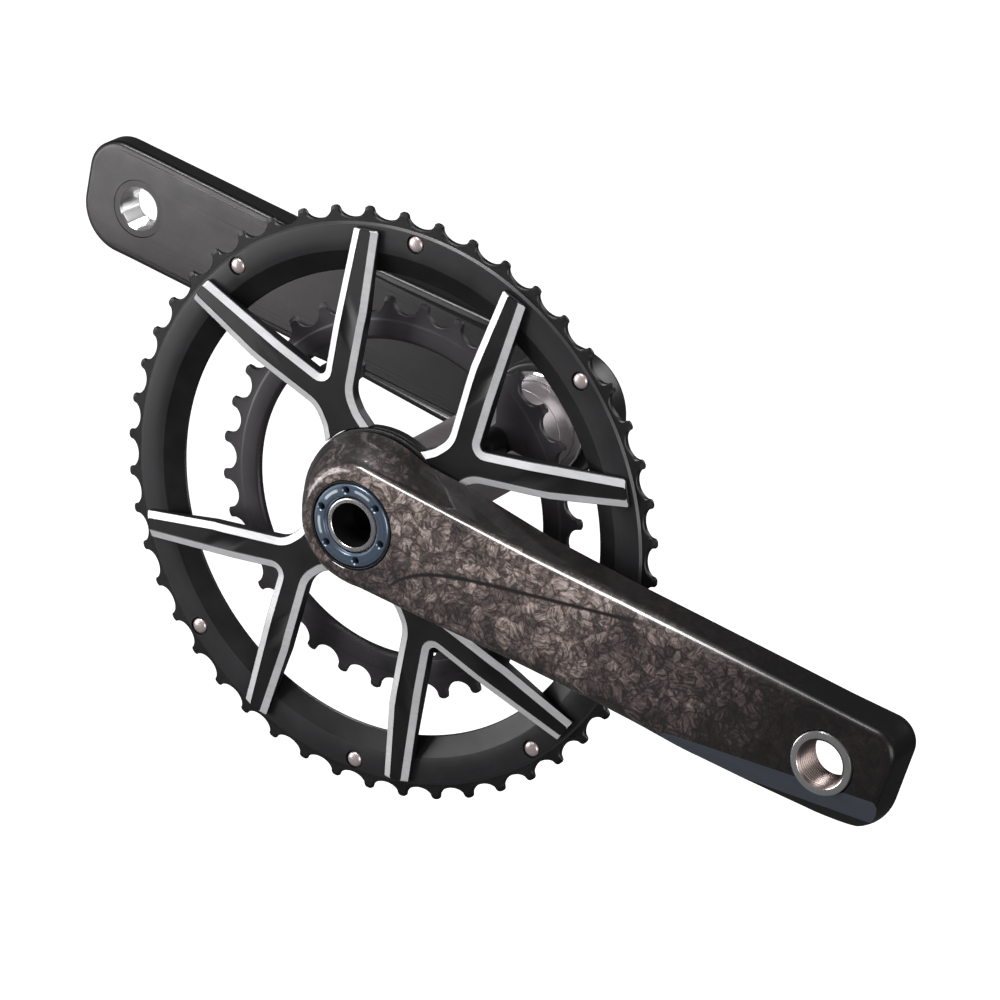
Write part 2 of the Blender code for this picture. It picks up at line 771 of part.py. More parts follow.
def inner_ring_bolts(mat, parent):
    """Four bolts that hold the inner ring's tabs to the spider, from behind."""
    head_y = INNER_BACK_Y + GAP
    profile = [
        (0, -49.5 * MM),
        (RING_BOLT_SHANK, -49.5 * MM),
        (RING_BOLT_SHANK, head_y),
        (4.6 * MM, head_y),
        (4.6 * MM, head_y + 1.4 * MM),
        (4.0 * MM, head_y + 2.0 * MM),
        (2.2 * MM, head_y + 2.0 * MM),
        (2.2 * MM, head_y - 0.4 * MM),
        (0, head_y - 0.4 * MM),
    ]
    first = None
    for i, angle in enumerate(SPIDER_ANGLES):
        name = "inner_ring_bolt_%d" % (i + 1)
        if first is None:
            first = new_object(name, turned(profile, 12), mat, parent)
            made = first
        else:
            made = bpy.data.objects.new(name, first.data)
            bpy.context.scene.collection.objects.link(made)
            made.parent = parent
        x, z = polar(RING_BOLT_RADIUS, angle)
        made.location = (x, 0, z)


# Spider


def leg_front(radius):
    return between(
        radius, SPIDER_BEND_RADIUS, SPIDER_FRONT_Y, SPIDER_END_RADIUS, SPIDER_END_Y
    )


def spider_arm_outline():
    """One Y, with its trunk along +X: a trunk that splits into two tapered legs."""
    half = [
        (SPIDER_HUB_RADIUS - 2 * MM, 9.6 * MM, 0),
        (31.0 * MM, 7.6 * MM, 8 * MM),
        (37.5 * MM, 7.6 * MM, 9 * MM),
        (59.1 * MM, 23.9 * MM, 0),
        (81.8 * MM, 38.3 * MM, 0),
        (85.9 * MM, 30.2 * MM, 0),
    ]
    crotch = (45.1 * MM, 0, 2 * MM)
    return rounded(half + [crotch] + mirrored_down(half), 5)


def refined(outline, longest):
    """The same outline, with extra points along its long edges."""
    points = []
    for i, (x, z) in enumerate(outline):
        x2, z2 = outline[(i + 1) % len(outline)]
        pieces = max(1, round(math.hypot(x2 - x, z2 - z) / longest))
        for k in range(pieces):
            points.append((x + (x2 - x) * k / pieces, z + (z2 - z) * k / pieces))
    return points


def spider_arm(index, angle, mat, parent):
    outline = refined(spider_arm_outline(), 11 * MM)
    bm = plate(outline, [], SPIDER_FRONT_Y, SPIDER_LEG_BACK_Y)
    for v in bm.verts:
        if v.co.y < SPIDER_LEG_BACK_Y - GAP:
            v.co.y = leg_front(math.hypot(v.co.x, v.co.z))
    made = new_object("spider_arm_%d" % index, bm, mat, parent, 20)
    turn_in_ring_plane(made, angle)
    boss = cylinder(RING_BOSS_RADIUS, SPIDER_LEG_BACK_Y - 1 * MM, INNER_FACE_Y - GAP)
    boss_tool = cutter("add_boss_%d" % index, moved(boss, RING_BOLT_RADIUS))
    hole = cylinder(RING_BOLT_SHANK + GAP, -50 * MM, -30 * MM, 16)
    hole_tool = cutter("cut_bolt_%d" % index, moved(hole, RING_BOLT_RADIUS))
    for tool in (boss_tool, hole_tool):
        turn_in_ring_plane(tool, angle)
    boolean(made, boss_tool, "UNION")
    boolean(made, hole_tool)
    return made


def hub_edge_cutter():
    """The round hub's clearance, which ends each Y's trunk in an arc."""
    return cutter("cut_hub_edge", cylinder(SPIDER_HUB_RADIUS + GAP, -60 * MM, -40 * MM, ROUND))


def spider_hub(mat, parent):
    hole = splines(MOUNT_SPLINE_RADIUS - 0.5 * MM + GAP, 0.9 * MM, 8)
    bm = plate(circle(SPIDER_HUB_RADIUS), [hole], SPIDER_FRONT_Y, SPIDER_HUB_BACK_Y)
    new_object("spider_hub", bm, mat, parent)


def shift_pins(mat, parent):
    """Rivets through the outer ring, whose inner heads lift the chain."""
    front = BAND_FACE_Y + 0.4 * MM
    back = BAND_BACK_Y + GAP
    profile = [
        (0, front - 0.9 * MM),
        (SHIFT_PIN_HEAD - 0.9 * MM, front - 0.9 * MM),
        (SHIFT_PIN_HEAD, front - 0.4 * MM),
        (SHIFT_PIN_HEAD, front),
        (SHIFT_PIN_SHANK, front),
        (SHIFT_PIN_SHANK, back),
        (3.0 * MM, back),
        (3.0 * MM, back + 1.0 * MM),
        (2.2 * MM, back + 1.5 * MM),
        (0, back + 1.5 * MM),
    ]
    first = None
    for i, angle in enumerate(SHIFT_PIN_ANGLES):
        name = "shift_pin_%d" % (i + 1)
        if first is None:
            first = new_object(name, turned(profile, 12), mat, parent)
            made = first
        else:
            made = bpy.data.objects.new(name, first.data)
            bpy.context.scene.collection.objects.link(made)
            made.parent = parent
        x, z = polar(SHIFT_PIN_CIRCLE, angle)
        made.location = (x, 0, z)


def chain_pin(mat, parent):
    """The peg behind the arm that keeps a dropped chain off it."""
    front = BAND_FACE_Y - GAP
    profile = [
        (0, -54.6 * MM),
        (CHAIN_PIN_RADIUS - 0.5 * MM, -54.6 * MM),
        (CHAIN_PIN_RADIUS, -54.1 * MM),
        (CHAIN_PIN_RADIUS, front),
        (SHIFT_PIN_SHANK, front),
        (SHIFT_PIN_SHANK, BAND_BACK_Y - 0.4 * MM),
        (0, BAND_BACK_Y - 0.4 * MM),
    ]
    made = new_object("chain_pin", turned(profile, 16), mat, parent)
    made.location.x = CHAIN_PIN_CIRCLE


# Bearing covers


def bearing_cover(side_name, side, cover_mat, seal_mat, parent):
    inner, outer = BEARING_FACE_Y, BEARING_FACE_Y + COVER_DEPTH
    plate_y = inner + COVER_PLATE
    cover = [
        (RUNNING_RADIUS, inner),
        (COVER_RADIUS - 0.4 * MM, inner),
        (COVER_RADIUS, inner + 0.4 * MM),
        (COVER_RADIUS, outer),
        (SEAL_OUTER + GAP, outer),
        (SEAL_OUTER + GAP, plate_y),
        (RUNNING_RADIUS, plate_y),
    ]
    seal_y = plate_y + 0.2 * MM
    seal = [
        (RUNNING_RADIUS, seal_y + 0.2 * MM),
        (RUNNING_RADIUS + 0.3 * MM, seal_y),
        (SEAL_OUTER, seal_y),
        (SEAL_OUTER, outer),
        (RUNNING_RADIUS + 0.3 * MM, outer),
    ]
    for kind, profile, mat in (("cover", cover, cover_mat), ("seal", seal, seal_mat)):
        bm = turned([(radius, side * y) for radius, y in profile], HIDDEN_ROUND)
        new_object("%s_bearing_%s" % (side_name, kind), bm, mat, parent)


def empty(name, parent=None):
    made = bpy.data.objects.new(name, None)
    bpy.context.scene.collection.objects.link(made)
    made.parent = parent
    return made


def build():
    clear_scene()
    carbon = material("marbled_carbon", (0.030, 0.026, 0.026), 0.30, 0.0, 0.8)
    dark_carbon = material("matt_carbon", (0.040, 0.036, 0.038), 0.50, 0.0, 0.1)
    anodised = material("black_anodised_aluminium", (0.016, 0.016, 0.019), 0.38, 0.8)
    ring_grey = material("dark_grey_aluminium", (0.028, 0.027, 0.029), 0.45, 0.8)
    tube = material("grey_anodised_aluminium", (0.27, 0.24, 0.25), 0.35, 0.9)
    silver = material("polished_aluminium", (0.62, 0.60, 0.60), 0.22, 1.0)
    steel = material("steel", (0.50, 0.47, 0.47), 0.30, 1.0)
    blue = material("blue_grey_aluminium", (0.10, 0.15, 0.22), 0.30, 0.9)
    black_steel = material("black_steel", (0.02, 0.02, 0.022), 0.35, 0.9)
    rubber = material("black_rubber", (0.012, 0.012, 0.012), 0.80, 0.0)

    frame_side = empty("frame_side")
    crank = empty("crank_axis", frame_side)
    bolt = empty("bolt_axis", crank)
    extractor = empty("extractor_axis", crank)

    bearing_cover("drive", -1, silver, rubber, frame_side)
    bearing_cover("nondrive", 1, silver, rubber, frame_side)

    drive_arm(carbon, crank)
    nondrive_arm(dark_carbon, crank)
    pedal_insert("drive_pedal_insert", 1, silver, crank)
    pedal_insert("nondrive_pedal_insert", -1, silver, crank)
    spindle(tube, crank)
    drive_hub_insert(anodised, crank)
    nondrive_hub_insert(silver, crank)
    lockring(black_steel, crank)
    wave_washer(steel, crank)
    spacer_low = -SHOULDER_Y
    flat_ring(
        "drive_spacer",
        SPINDLE_RADIUS + 0.4 * MM,
        WASHER_RADIUS,
        spacer_low,
        spacer_low + 0.45 * MM,
        black_steel,
        crank,
    )
    outer_chainring(anodised, crank)
    inner_chainring(ring_grey, crank)
    spider_hub(anodised, crank)
    hub_edge = hub_edge_cutter()
    for i, angle in enumerate(SPIDER_ANGLES):
        boolean(spider_arm(i + 1, angle, anodised, crank), hub_edge)
    inner_ring_bolts(black_steel, crank)
    shift_pins(steel, crank)
    chain_pin(steel, crank)

    crank_bolt(steel, bolt)
    flat_ring(
        "bolt_washer", 8.3 * MM, 12.5 * MM, -SEAT_Y - 1.0 * MM, -SEAT_Y - GAP, steel, crank
    )
    extractor_ring(blue, extractor)


build()
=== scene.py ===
"""Looks of the two-ring road crankset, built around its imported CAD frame."""

import math

import bmesh
import bpy
from mathutils import Matrix, Vector
from mathutils.geometry import tessellate_polygon


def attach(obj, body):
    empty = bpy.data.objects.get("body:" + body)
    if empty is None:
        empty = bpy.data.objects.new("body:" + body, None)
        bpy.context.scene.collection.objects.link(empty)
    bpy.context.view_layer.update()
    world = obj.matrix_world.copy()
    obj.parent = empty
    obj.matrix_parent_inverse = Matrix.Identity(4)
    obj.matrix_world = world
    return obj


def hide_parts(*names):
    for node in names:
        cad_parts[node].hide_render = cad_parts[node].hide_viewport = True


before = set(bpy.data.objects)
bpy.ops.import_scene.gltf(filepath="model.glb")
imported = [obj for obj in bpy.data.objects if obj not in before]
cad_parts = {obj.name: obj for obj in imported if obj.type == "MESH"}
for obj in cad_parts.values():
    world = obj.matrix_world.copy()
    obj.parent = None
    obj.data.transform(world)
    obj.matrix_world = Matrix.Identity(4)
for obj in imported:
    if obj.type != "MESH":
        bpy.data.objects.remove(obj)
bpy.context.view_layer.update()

MM = 0.001
TURN = 2 * math.pi

# The crankset's own measures, as in the CAD part
ARM_LENGTH = 172.5 * MM
HUB_RADIUS = 21.5 * MM
HUB_FACE_RADIUS = 18.8 * MM
HUB_BACK_RADIUS = 26.2 * MM
ARM_HALF_HEIGHT = 19.5 * MM
ARM_END = 23.5 * MM
HUB_FACE_Y = 69.2 * MM
ARM_FACE_RISE = 3.0 * MM
PEDAL_BACK_Y = 61.5 * MM
DRIVE_HUB_BACK_Y = 54.6 * MM
NONDRIVE_BACK_Y = 56.0 * MM
NONDRIVE_BOSS_Y = 46.0 * MM
PEDAL_INSERT_RADIUS = 10.2 * MM
INSERT_RADIUS = 17.5 * MM
INSERT_LIP_RADIUS = 14.4 * MM
PIN_HOLE_CIRCLE = 11.5 * MM
PIN_HOLE_ANGLE = math.radians(52.5)
CHAIN_PITCH = 12.7 * MM
ROLLER_SEAT = 3.8 * MM
SEAT_HALF_WIDTH = 4.9 * MM
OUTER_PHASE = math.radians(2.75)
OUTER_TIP = 97.2 * MM
INNER_PHASE = math.radians(6.2)
INNER_TIP = 66.2 * MM
SPIDER_ANGLES = [math.radians(a) for a in (50.2, 129.8, 230.2, 309.8)]
SHIFT_PIN_ANGLES = [math.radians(51.8 + 45 * k) for k in (0, 1, 2, 4, 5, 6)]
SHIFT_PIN_CIRCLE = 88.5 * MM
RING_BOLT_RADIUS = 44.0 * MM
RING_BOSS_RADIUS = 4.8 * MM
LEG_BACK_Y = -49.8 * MM
FACET_START_X = 110.7 * MM
FACET_START_Z = -16.6 * MM
FACET_CLIMB = 0.155
FACET_SLOPE = 0.63
FACET_EDGE_Y = -66.0 * MM
UNDERSIDE_SLOPE = 0.84
GAP = 0.3 * MM
OUTER_TEETH = 48
INNER_TEETH = 32
PIN_HOLES = 6

# Planes well outside and well inside the arms, for the shapes that cut them
OUTSIDE_Y = 80 * MM
INSIDE_Y = 50 * MM

# Camera, fitted to the object, and floor
CAMERA_PLACE = (0.69383, -1.44086, 0.78720)
CAMERA_RIGHT = (0.83173363, 0.51120022, 0.21654908)
CAMERA_UP = (-0.4033975, 0.28849271, 0.86835615)
CAMERA_LENS = 200.48
FLOOR_Z = -1.3


# Meshes


def to_object(name, bm, mats):
    bmesh.ops.remove_doubles(bm, verts=bm.verts, dist=1e-7)
    bmesh.ops.recalc_face_normals(bm, faces=bm.faces)
    if bm.calc_volume(signed=True) < 0:
        bmesh.ops.reverse_faces(bm, faces=bm.faces)
    mesh = bpy.data.meshes.new(name)
    bm.to_mesh(mesh)
    bm.free()
    made = bpy.data.objects.new(name, mesh)
    for mat in mats:
        mesh.materials.append(mat)
    bpy.context.scene.collection.objects.link(made)
    return made


def piece(name, bm, mats, body, nodes=(), sharp=30, cuts=(), unions=()):
    """A finished piece of the object: cut, smoothed and riding on its body."""
    made = to_object(name, bm, mats)
    tools = [(tool, "UNION") for tool in unions] + [(tool, "DIFFERENCE") for tool in cuts]
    helpers = []
    for shape, operation in tools:
        helper = to_object("helper", shape, [])
        modifier = made.modifiers.new("cut", "BOOLEAN")
        modifier.operation = operation
        modifier.solver = "EXACT"
        modifier.object = helper
        helpers.append(helper)
    if helpers:
        graph = bpy.context.evaluated_depsgraph_get()
        mesh = bpy.data.meshes.new_from_object(made.evaluated_get(graph))
        made.modifiers.clear()
        old = made.data
        made.data = mesh
        bpy.data.meshes.remove(old)
        mesh.name = name
    for helper in helpers:
        bpy.data.objects.remove(helper)
    made.data.shade_smooth()
    made.data.set_sharp_from_angle(angle=math.radians(sharp))
    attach(made, body)
    if nodes:
        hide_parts(*nodes)
    return made


def polar(radius, angle):
    return (radius * math.cos(angle), radius * math.sin(angle))


def circle(radius, steps, x=0.0, z=0.0, start=0.0):
    made = []
    for i in range(steps):
        dx, dz = polar(radius, start + TURN * i / steps)
        made.append((x + dx, z + dz))
    return made


def rounded(corners, steps):
    """A closed outline from (x, z, radius) corners, each one rounded by an arc."""
    points = []
    for i, (x, z, radius) in enumerate(corners):
        here = Vector((x, z))
        before = (Vector(corners[i - 1][:2]) - here).normalized()
        after = (Vector(corners[(i + 1) % len(corners)][:2]) - here).normalized()
        half = before.angle(after) / 2
        if radius <= 0:
            points.append((x, z))
            continue
        centre = here + (before + after).normalized() * radius / math.sin(half)
        first = here + before * radius / math.tan(half) - centre
        last = here + after * radius / math.tan(half) - centre
        sweep = first.angle_signed(last)
        for k in range(steps + 1):
            spoke = Vector(first)
            spoke.rotate(Matrix.Rotation(-sweep * k / steps, 2))
            points.append(tuple(centre + spoke))
    return points


def soft(profile, radius, steps=3):
    """The profile with every corner rounded, except on the turning axis."""
    return rounded([(r, y, radius if r > 0 else 0) for r, y in profile], steps)


def in_metres(profile):
    """An outline given in millimetres, turned into metres."""
    return [(r * MM, y * MM) for r, y in profile]


def turned(profile, steps=128):
    """The closed outline (radius, y) turned about the Y axis."""
    bm = bmesh.new()
    verts = [bm.verts.new((radius, y, 0)) for radius, y in profile]
    edges = [bm.edges.new((a, b)) for a, b in zip(verts, verts[1:] + verts[:1])]
    bmesh.ops.spin(
        bm,
        geom=verts + edges,
        cent=(0, 0, 0),
        axis=(0, 1, 0),
        angle=TURN,
        steps=steps,
        use_merge=True,
    )
    return bm


def moved(bm, x=0.0, z=0.0):
    bmesh.ops.translate(bm, verts=bm.verts, vec=(x, 0, z))
    return bm


def spun(bm, angle):
    """The same shape turned about the spindle, from +X to +Z."""
    bmesh.ops.rotate(
        bm, verts=bm.verts, cent=(0, 0, 0), matrix=Matrix.Rotation(-angle, 3, "Y")
    )
    return bm


def joined(shapes):
    bm = bmesh.new()
    for shape in shapes:
        mesh = bpy.data.meshes.new("shape")
        shape.to_mesh(mesh)
        shape.free()
        bm.from_mesh(mesh)
        bpy.data.meshes.remove(mesh)
    return bm


def cylinder(radius, y_low, y_high, steps=32):
    return turned([(0, y_low), (radius, y_low), (radius, y_high), (0, y_high)], steps)


def plate(outline, holes, y_front, y_back):
    """A flat plate between two Y planes. Outlines are lists of (x, z)."""
    loops = [outline] + holes
    bm = bmesh.new()
    front = [bm.verts.new((x, y_front, z)) for loop in loops for x, z in loop]
    back = [bm.verts.new((x, y_back, z)) for loop in loops for x, z in loop]
    polylines = [[Vector((x, z, 0)) for x, z in loop] for loop in loops]
    for a, b, c in tessellate_polygon(polylines):
        bm.faces.new((front[a], front[b], front[c]))
        bm.faces.new((back[c], back[b], back[a]))
    start = 0
    for loop in loops:
        for i in range(len(loop)):
            a = start + i
            b = start + (i + 1) % len(loop)
            bm.faces.new((front[a], front[b], back[b], back[a]))
        start += len(loop)
    return bm


def between(x, x0, y0, x1, y1):
    share = min(max((x - x0) / (x1 - x0), 0), 1)
    return y0 + (y1 - y0) * share


# Materials


class Nodes:
    """A material's node tree, built up call by call."""

    def __init__(self, name):
        self.mat = bpy.data.materials.new(name)
        self.mat.use_nodes = True
        self.tree = self.mat.node_tree
        self.shader = self.tree.nodes["Principled BSDF"]
        self.coords = self.add("ShaderNodeTexCoord").outputs["Object"]

    def add(self, kind, inputs=(), **settings):
        node = self.tree.nodes.new(kind)
        for key, value in settings.items():
            setattr(node, key, value)
        for key, value in dict(inputs).items():
            self.put(node.inputs[key], value)
        return node

    def put(self, socket, value):
        if isinstance(value, bpy.types.NodeSocket):
            self.tree.links.new(value, socket)
        else:
            socket.default_value = value

    def set(self, **values):
        for key, value in values.items():
            self.put(self.shader.inputs[key.replace("_", " ")], value)
        return self

    def math(self, operation, a, b=0.0, clamp=False):
        node = self.add("ShaderNodeMath", operation=operation, use_clamp=clamp)
        self.put(node.inputs[0], a)
        self.put(node.inputs[1], b)
        return node.outputs[0]

    def mix(self, factor, a, b, blend="MIX"):
        node = self.add("ShaderNodeMix", data_type="RGBA", blend_type=blend)
        self.put(node.inputs[0], factor)
        self.put(node.inputs[6], a)
        self.put(node.inputs[7], b)
        return node.outputs[2]

    def ramp(self, value, stops):
        node = self.add("ShaderNodeValToRGB", {"Fac": value})
        points = node.color_ramp.elements
        while len(points) < len(stops):
            points.new(0.5)
        for point, (at, colour) in zip(points, stops):
            point.position = at
            point.color = (*colour, 1) if hasattr(colour, "__len__") else (colour,) * 3 + (1,)
        return node.outputs["Color"]

    def mapped(self, scale, rotation=(0, 0, 0), source=None):
        node = self.add(
            "ShaderNodeMapping",
            {"Vector": source or self.coords, "Scale": scale, "Rotation": rotation},
        )
        return node.outputs["Vector"]

    def noise(self, scale, detail=3.0, rough=0.55, vector=None, out="Fac", distortion=0.0):
        node = self.add(
            "ShaderNodeTexNoise",
            {
                "Vector": vector or self.coords,
                "Scale": scale,
                "Detail": detail,
                "Roughness": rough,
                "Distortion": distortion,
            },
        )
        return node.outputs[out]

    def voronoi(self, scale, vector=None, out="Color", feature="F1"):
        node = self.add(
            "ShaderNodeTexVoronoi",
            {"Vector": vector or self.coords, "Scale": scale},
            feature=feature,
        )
        return node.outputs[out]

    def range(self, value, low, high, to_low, to_high):
        node = self.add("ShaderNodeMapRange", {0: value, 1: low, 2: high, 3: to_low, 4: to_high})
        return node.outputs[0]

    def bump(self, height, strength, distance):
        node = self.add(
            "ShaderNodeBump",
            {"Height": height, "Strength": strength, "Distance": distance * MM},
        )
        self.put(self.shader.inputs["Normal"], node.outputs["Normal"])
        return self

    def axis(self, name):
        node = self.add("ShaderNodeSeparateXYZ", {"Vector": self.coords})
        return node.outputs[name]

    def normal(self, name):
        source = self.add("ShaderNodeTexCoord").outputs["Normal"]
        return self.add("ShaderNodeSeparateXYZ", {"Vector": source}).outputs[name]

    def radius(self):
        """Distance from the spindle's axis, in metres."""
        x, z = self.axis("X"), self.axis("Z")
        square = self.math("ADD", self.math("MULTIPLY", x, x), self.math("MULTIPLY", z, z))
        return self.math("SQRT", square)


def leaves(n, source, scale, seed):
    """Flakes of fibre: each cell has its own brightness and hatching direction."""
    moved_map = n.add("ShaderNodeMapping", {"Vector": source, "Location": (seed, seed, 0.0)})
    place = moved_map.outputs["Vector"]
    cell = n.add("ShaderNodeSeparateColor", {"Color": n.voronoi(scale, place)})
    border = n.voronoi(scale, place, "Distance", "DISTANCE_TO_EDGE")
    turned_map = n.add(
        "ShaderNodeVectorRotate",
        {"Vector": place, "Angle": n.math("MULTIPLY", cell.outputs[0], math.pi)},
        rotation_type="Y_AXIS",
    )
    hatch_map = n.mapped((0.16, 0.6, 1.0), (0, 0, 0), turned_map.outputs[0])
    hatch = n.range(n.noise(1150, 2, 0.65, hatch_map), 0.38, 0.64, 0.16, 1.0)
    shade = n.range(cell.outputs[1], 0.1, 0.9, 0.30, 1.0)
    vein = n.range(border, 0.01, 0.10, 0.30, 1.0)
    return n.math("MULTIPLY", n.math("MULTIPLY", hatch, shade), vein, True)


def painted_crease_shade(n):
    """0 on the dark painted shade line where a shallow fold crosses the outer face near the hub,
    1 off it.
    """
    x = n.axis("X")
    falling = n.math("MULTIPLY", n.math("SUBTRACT", 18 * MM, x), 1 / (8 * MM))
    bend = n.math("MULTIPLY", n.math("EXPONENT", falling), 9 * MM)
    straight = n.math("MULTIPLY_ADD", x, 0.225)
    straight.node.inputs[2].default_value = -8.05 * MM
    line = n.math("SUBTRACT", straight, bend)
    gap = n.math("ABSOLUTE", n.math("SUBTRACT", n.axis("Z"), line))
    beside = n.range(gap, 0.15 * MM, 0.9 * MM, 0.0, 1.0)
    past = n.range(x, 95 * MM, 110 * MM, 0.0, 1.0)
    before = n.range(x, 20 * MM, 16 * MM, 0.0, 1.0)
    return n.math("MAXIMUM", n.math("MAXIMUM", beside, past), before)


def marbled_carbon():
    """Forged chips of fibre under clear lacquer, darker towards the pedal, with painted shade on
    the flanks and along a fold near the hub.
    """
    n = Nodes("marbled_carbon")
    warp = n.noise(95, 3, 0.6, out="Color")
    bent = n.add("ShaderNodeVectorMath", {0: warp, 1: (0.5, 0.5, 0.5)}, operation="SUBTRACT")
    push = n.add(
        "ShaderNodeVectorMath", {0: bent.outputs[0], "Scale": 0.007}, operation="SCALE"
    )
    base = n.add("ShaderNodeVectorMath", {0: n.coords, 1: push.outputs[0]}, operation="ADD")
    broad = leaves(n, base.outputs[0], 230, 0.013)
    fine = leaves(n, base.outputs[0], 400, 0.171)
    dust = n.math("MULTIPLY", n.noise(1100, 4, 0.8), 0.20)
    flakes = n.math("ADD", n.math("MULTIPLY", broad, 0.62), n.math("MULTIPLY", fine, 0.42))
    # Painted shade: the flakes are darkened along the line where the face folds.
    shape = n.math("MULTIPLY", n.math("ADD", flakes, dust), painted_crease_shade(n))
    fade = n.range(n.axis("X"), 0.080, 0.165, 1.0, 0.14)
    patch = n.range(n.noise(42, 3, 0.6), 0.34, 0.62, 0.62, 1.1)
    low = n.range(n.axis("Z"), -0.019, 0.003, 0.5, 1.0)
    outward = n.normal("Y")
    # Painted shade: faces turned away from the outer side, the top flank most of all, are painted
    # darker.
    painted_flank_shade = n.range(outward, -0.85, -0.30, 1.0, 0.16)
    amount = n.math("MULTIPLY", n.math("MULTIPLY", fade, patch), low, True)
    amount = n.math("MULTIPLY", amount, painted_flank_shade)
    colour = n.ramp(
        n.math("MULTIPLY", shape, amount, True),
        [
            (0.0, (0.0042, 0.0038, 0.0040)),
            (0.14, (0.022, 0.0170, 0.0165)),
            (0.34, (0.095, 0.073, 0.068)),
            (0.58, (0.25, 0.200, 0.185)),
            (0.90, (0.45, 0.380, 0.355)),
        ],
    )
    gloss = n.range(n.axis("X"), 0.105, 0.150, 1.0, 0.12)
    facing = n.range(outward, -0.60, -0.25, 1.0, 0.30)
    gloss = n.math("MULTIPLY", gloss, facing)
    n.set(Base_Color=colour, Roughness=0.40, Coat_Weight=gloss, Coat_Roughness=0.06)
    n.set(Specular_IOR_Level=0.3)
    n.bump(n.noise(55, 2, 0.5), 0.04, 1.0)
    return n.mat


def dark_carbon():
    """Smooth satin lacquer over fine weave, with painted shade on the faces turned upwards."""
    n = Nodes("satin_carbon")
    speckle = n.noise(420, 4, 0.7)
    cloud = n.noise(26, 3, 0.6)
    tone = n.math("ADD", n.math("MULTIPLY", speckle, 0.35), n.math("MULTIPLY", cloud, 0.65))
    near_hub = n.range(n.axis("X"), -0.115, -0.02, 1.0, 0.14)
    # Painted shade: faces turned upwards are painted darker, as the light leaves them dark.
    level = n.range(n.normal("Z"), 0.3, 0.8, 1.0, 0.15)
    colour = n.ramp(
        n.math("MULTIPLY", n.math("MULTIPLY", tone, near_hub), level),
        [
            (0.0, (0.0050, 0.0046, 0.0050)),
            (0.35, (0.0150, 0.0125, 0.0138)),
            (0.7, (0.030, 0.025, 0.028)),
        ],
    )
    rough = n.range(n.noise(160, 3), 0.3, 0.7, 0.30, 0.42)
    n.set(Base_Color=colour, Roughness=rough, Coat_Weight=0.25, Coat_Roughness=0.22)
    n.set(Specular_IOR_Level=0.35)
    return n.mat


def metal(name, light, dark, rough, metallic=1.0, turned_marks=True, marks=0.12, coat=0.0):
    """Machined metal: fine turning marks round the spindle, or straight brushing."""
    n = Nodes(name)
    if turned_marks:
        ring = n.add("ShaderNodeCombineXYZ", {"X": n.radius(), "Y": n.axis("Y"), "Z": 0.0})
        lines = n.noise(2600, 2, 0.6, ring.outputs[0])
    else:
        lines = n.noise(900, 2, 0.6, n.mapped((0.06, 1.0, 1.0)))
    spots = n.noise(70, 3, 0.6)
    tone = n.math("ADD", n.math("MULTIPLY", lines, 0.5), n.math("MULTIPLY", spots, 0.5))
    colour = n.ramp(n.range(tone, 0.3, 0.7, 0.0, 1.0), [(0.0, dark), (1.0, light)])
    roughness = n.range(spots, 0.3, 0.7, rough * 0.85, min(rough * 1.2, 1))
    n.set(Base_Color=colour, Metallic=metallic, Roughness=roughness)
    if coat:
        n.set(Coat_Weight=coat, Coat_Roughness=0.12)
    n.bump(lines, marks, 0.05)
    return n.mat


def marked_ring():
    """Blue-grey anodising with plain bright arcs between some of the pin holes."""
    n = Nodes("blue_grey_alloy")
    x, z = n.axis("X"), n.axis("Z")
    angle = n.math("DIVIDE", n.math("ARCTAN2", z, x), math.radians(60))
    phase = n.math("FRACT", n.math("SUBTRACT", angle, PIN_HOLE_ANGLE / math.radians(60)))
    middle = n.math("ABSOLUTE", n.math("SUBTRACT", phase, 0.5))
    between_holes = n.range(middle, 0.20, 0.26, 1.0, 0.0)
    radius = n.radius()
    in_band = n.math("ABSOLUTE", n.math("SUBTRACT", radius, 11.6 * MM))
    band = n.range(in_band, 0.35 * MM, 0.55 * MM, 1.0, 0.0)
    upper = n.range(n.math("SUBTRACT", z, x), -1 * MM, 3 * MM, 0.0, 1.0)
    arc = n.math("MULTIPLY", n.math("MULTIPLY", between_holes, band), upper)
    ring = n.add("ShaderNodeCombineXYZ", {"X": radius, "Y": n.axis("Y"), "Z": 0.0})
    lines = n.noise(2600, 2, 0.6, ring.outputs[0])
    base = n.ramp(lines, [(0.3, (0.070, 0.098, 0.140)), (0.7, (0.125, 0.160, 0.215))])
    colour = n.mix(arc, base, (0.62, 0.68, 0.74, 1))
    n.set(Base_Color=colour, Metallic=0.6, Roughness=0.30)
    n.bump(lines, 0.12, 0.05)
    return n.mat


CARBON = marbled_carbon()
SATIN = dark_carbon()
# Painted reflection: the chamfer's blue-grey colour stands in for a bluish panel reflected in it.
FACET = metal(
    "facet_painted_reflection", (0.060, 0.072, 0.092), (0.050, 0.060, 0.078), 0.36, 0.0, False, 0.02, 0.3
)
BLACK = metal(
    "black_anodised", (0.0062, 0.0058, 0.0068), (0.0040, 0.0038, 0.0046), 0.40, 0.25, True, 0.10
)
BAND = metal(
    "black_band", (0.0185, 0.0175, 0.0195), (0.0125, 0.0118, 0.0132), 0.44, 0.25, True, 0.14
)
RIM = metal(
    "dark_rim_line", (0.055, 0.053, 0.056), (0.038, 0.037, 0.039), 0.40, 0.4, True, 0.14
)
RING_GREY = metal(
    "dark_grey_ring", (0.040, 0.036, 0.040), (0.028, 0.025, 0.028), 0.45, 0.35, True, 0.15
)
EDGE = metal("machined_edge", (0.66, 0.66, 0.67), (0.52, 0.52, 0.535), 0.36, 0.30, False, 0.10)
TUBE = metal("grey_tube", (0.36, 0.32, 0.335), (0.25, 0.222, 0.232), 0.34, 0.55, False, 0.10)
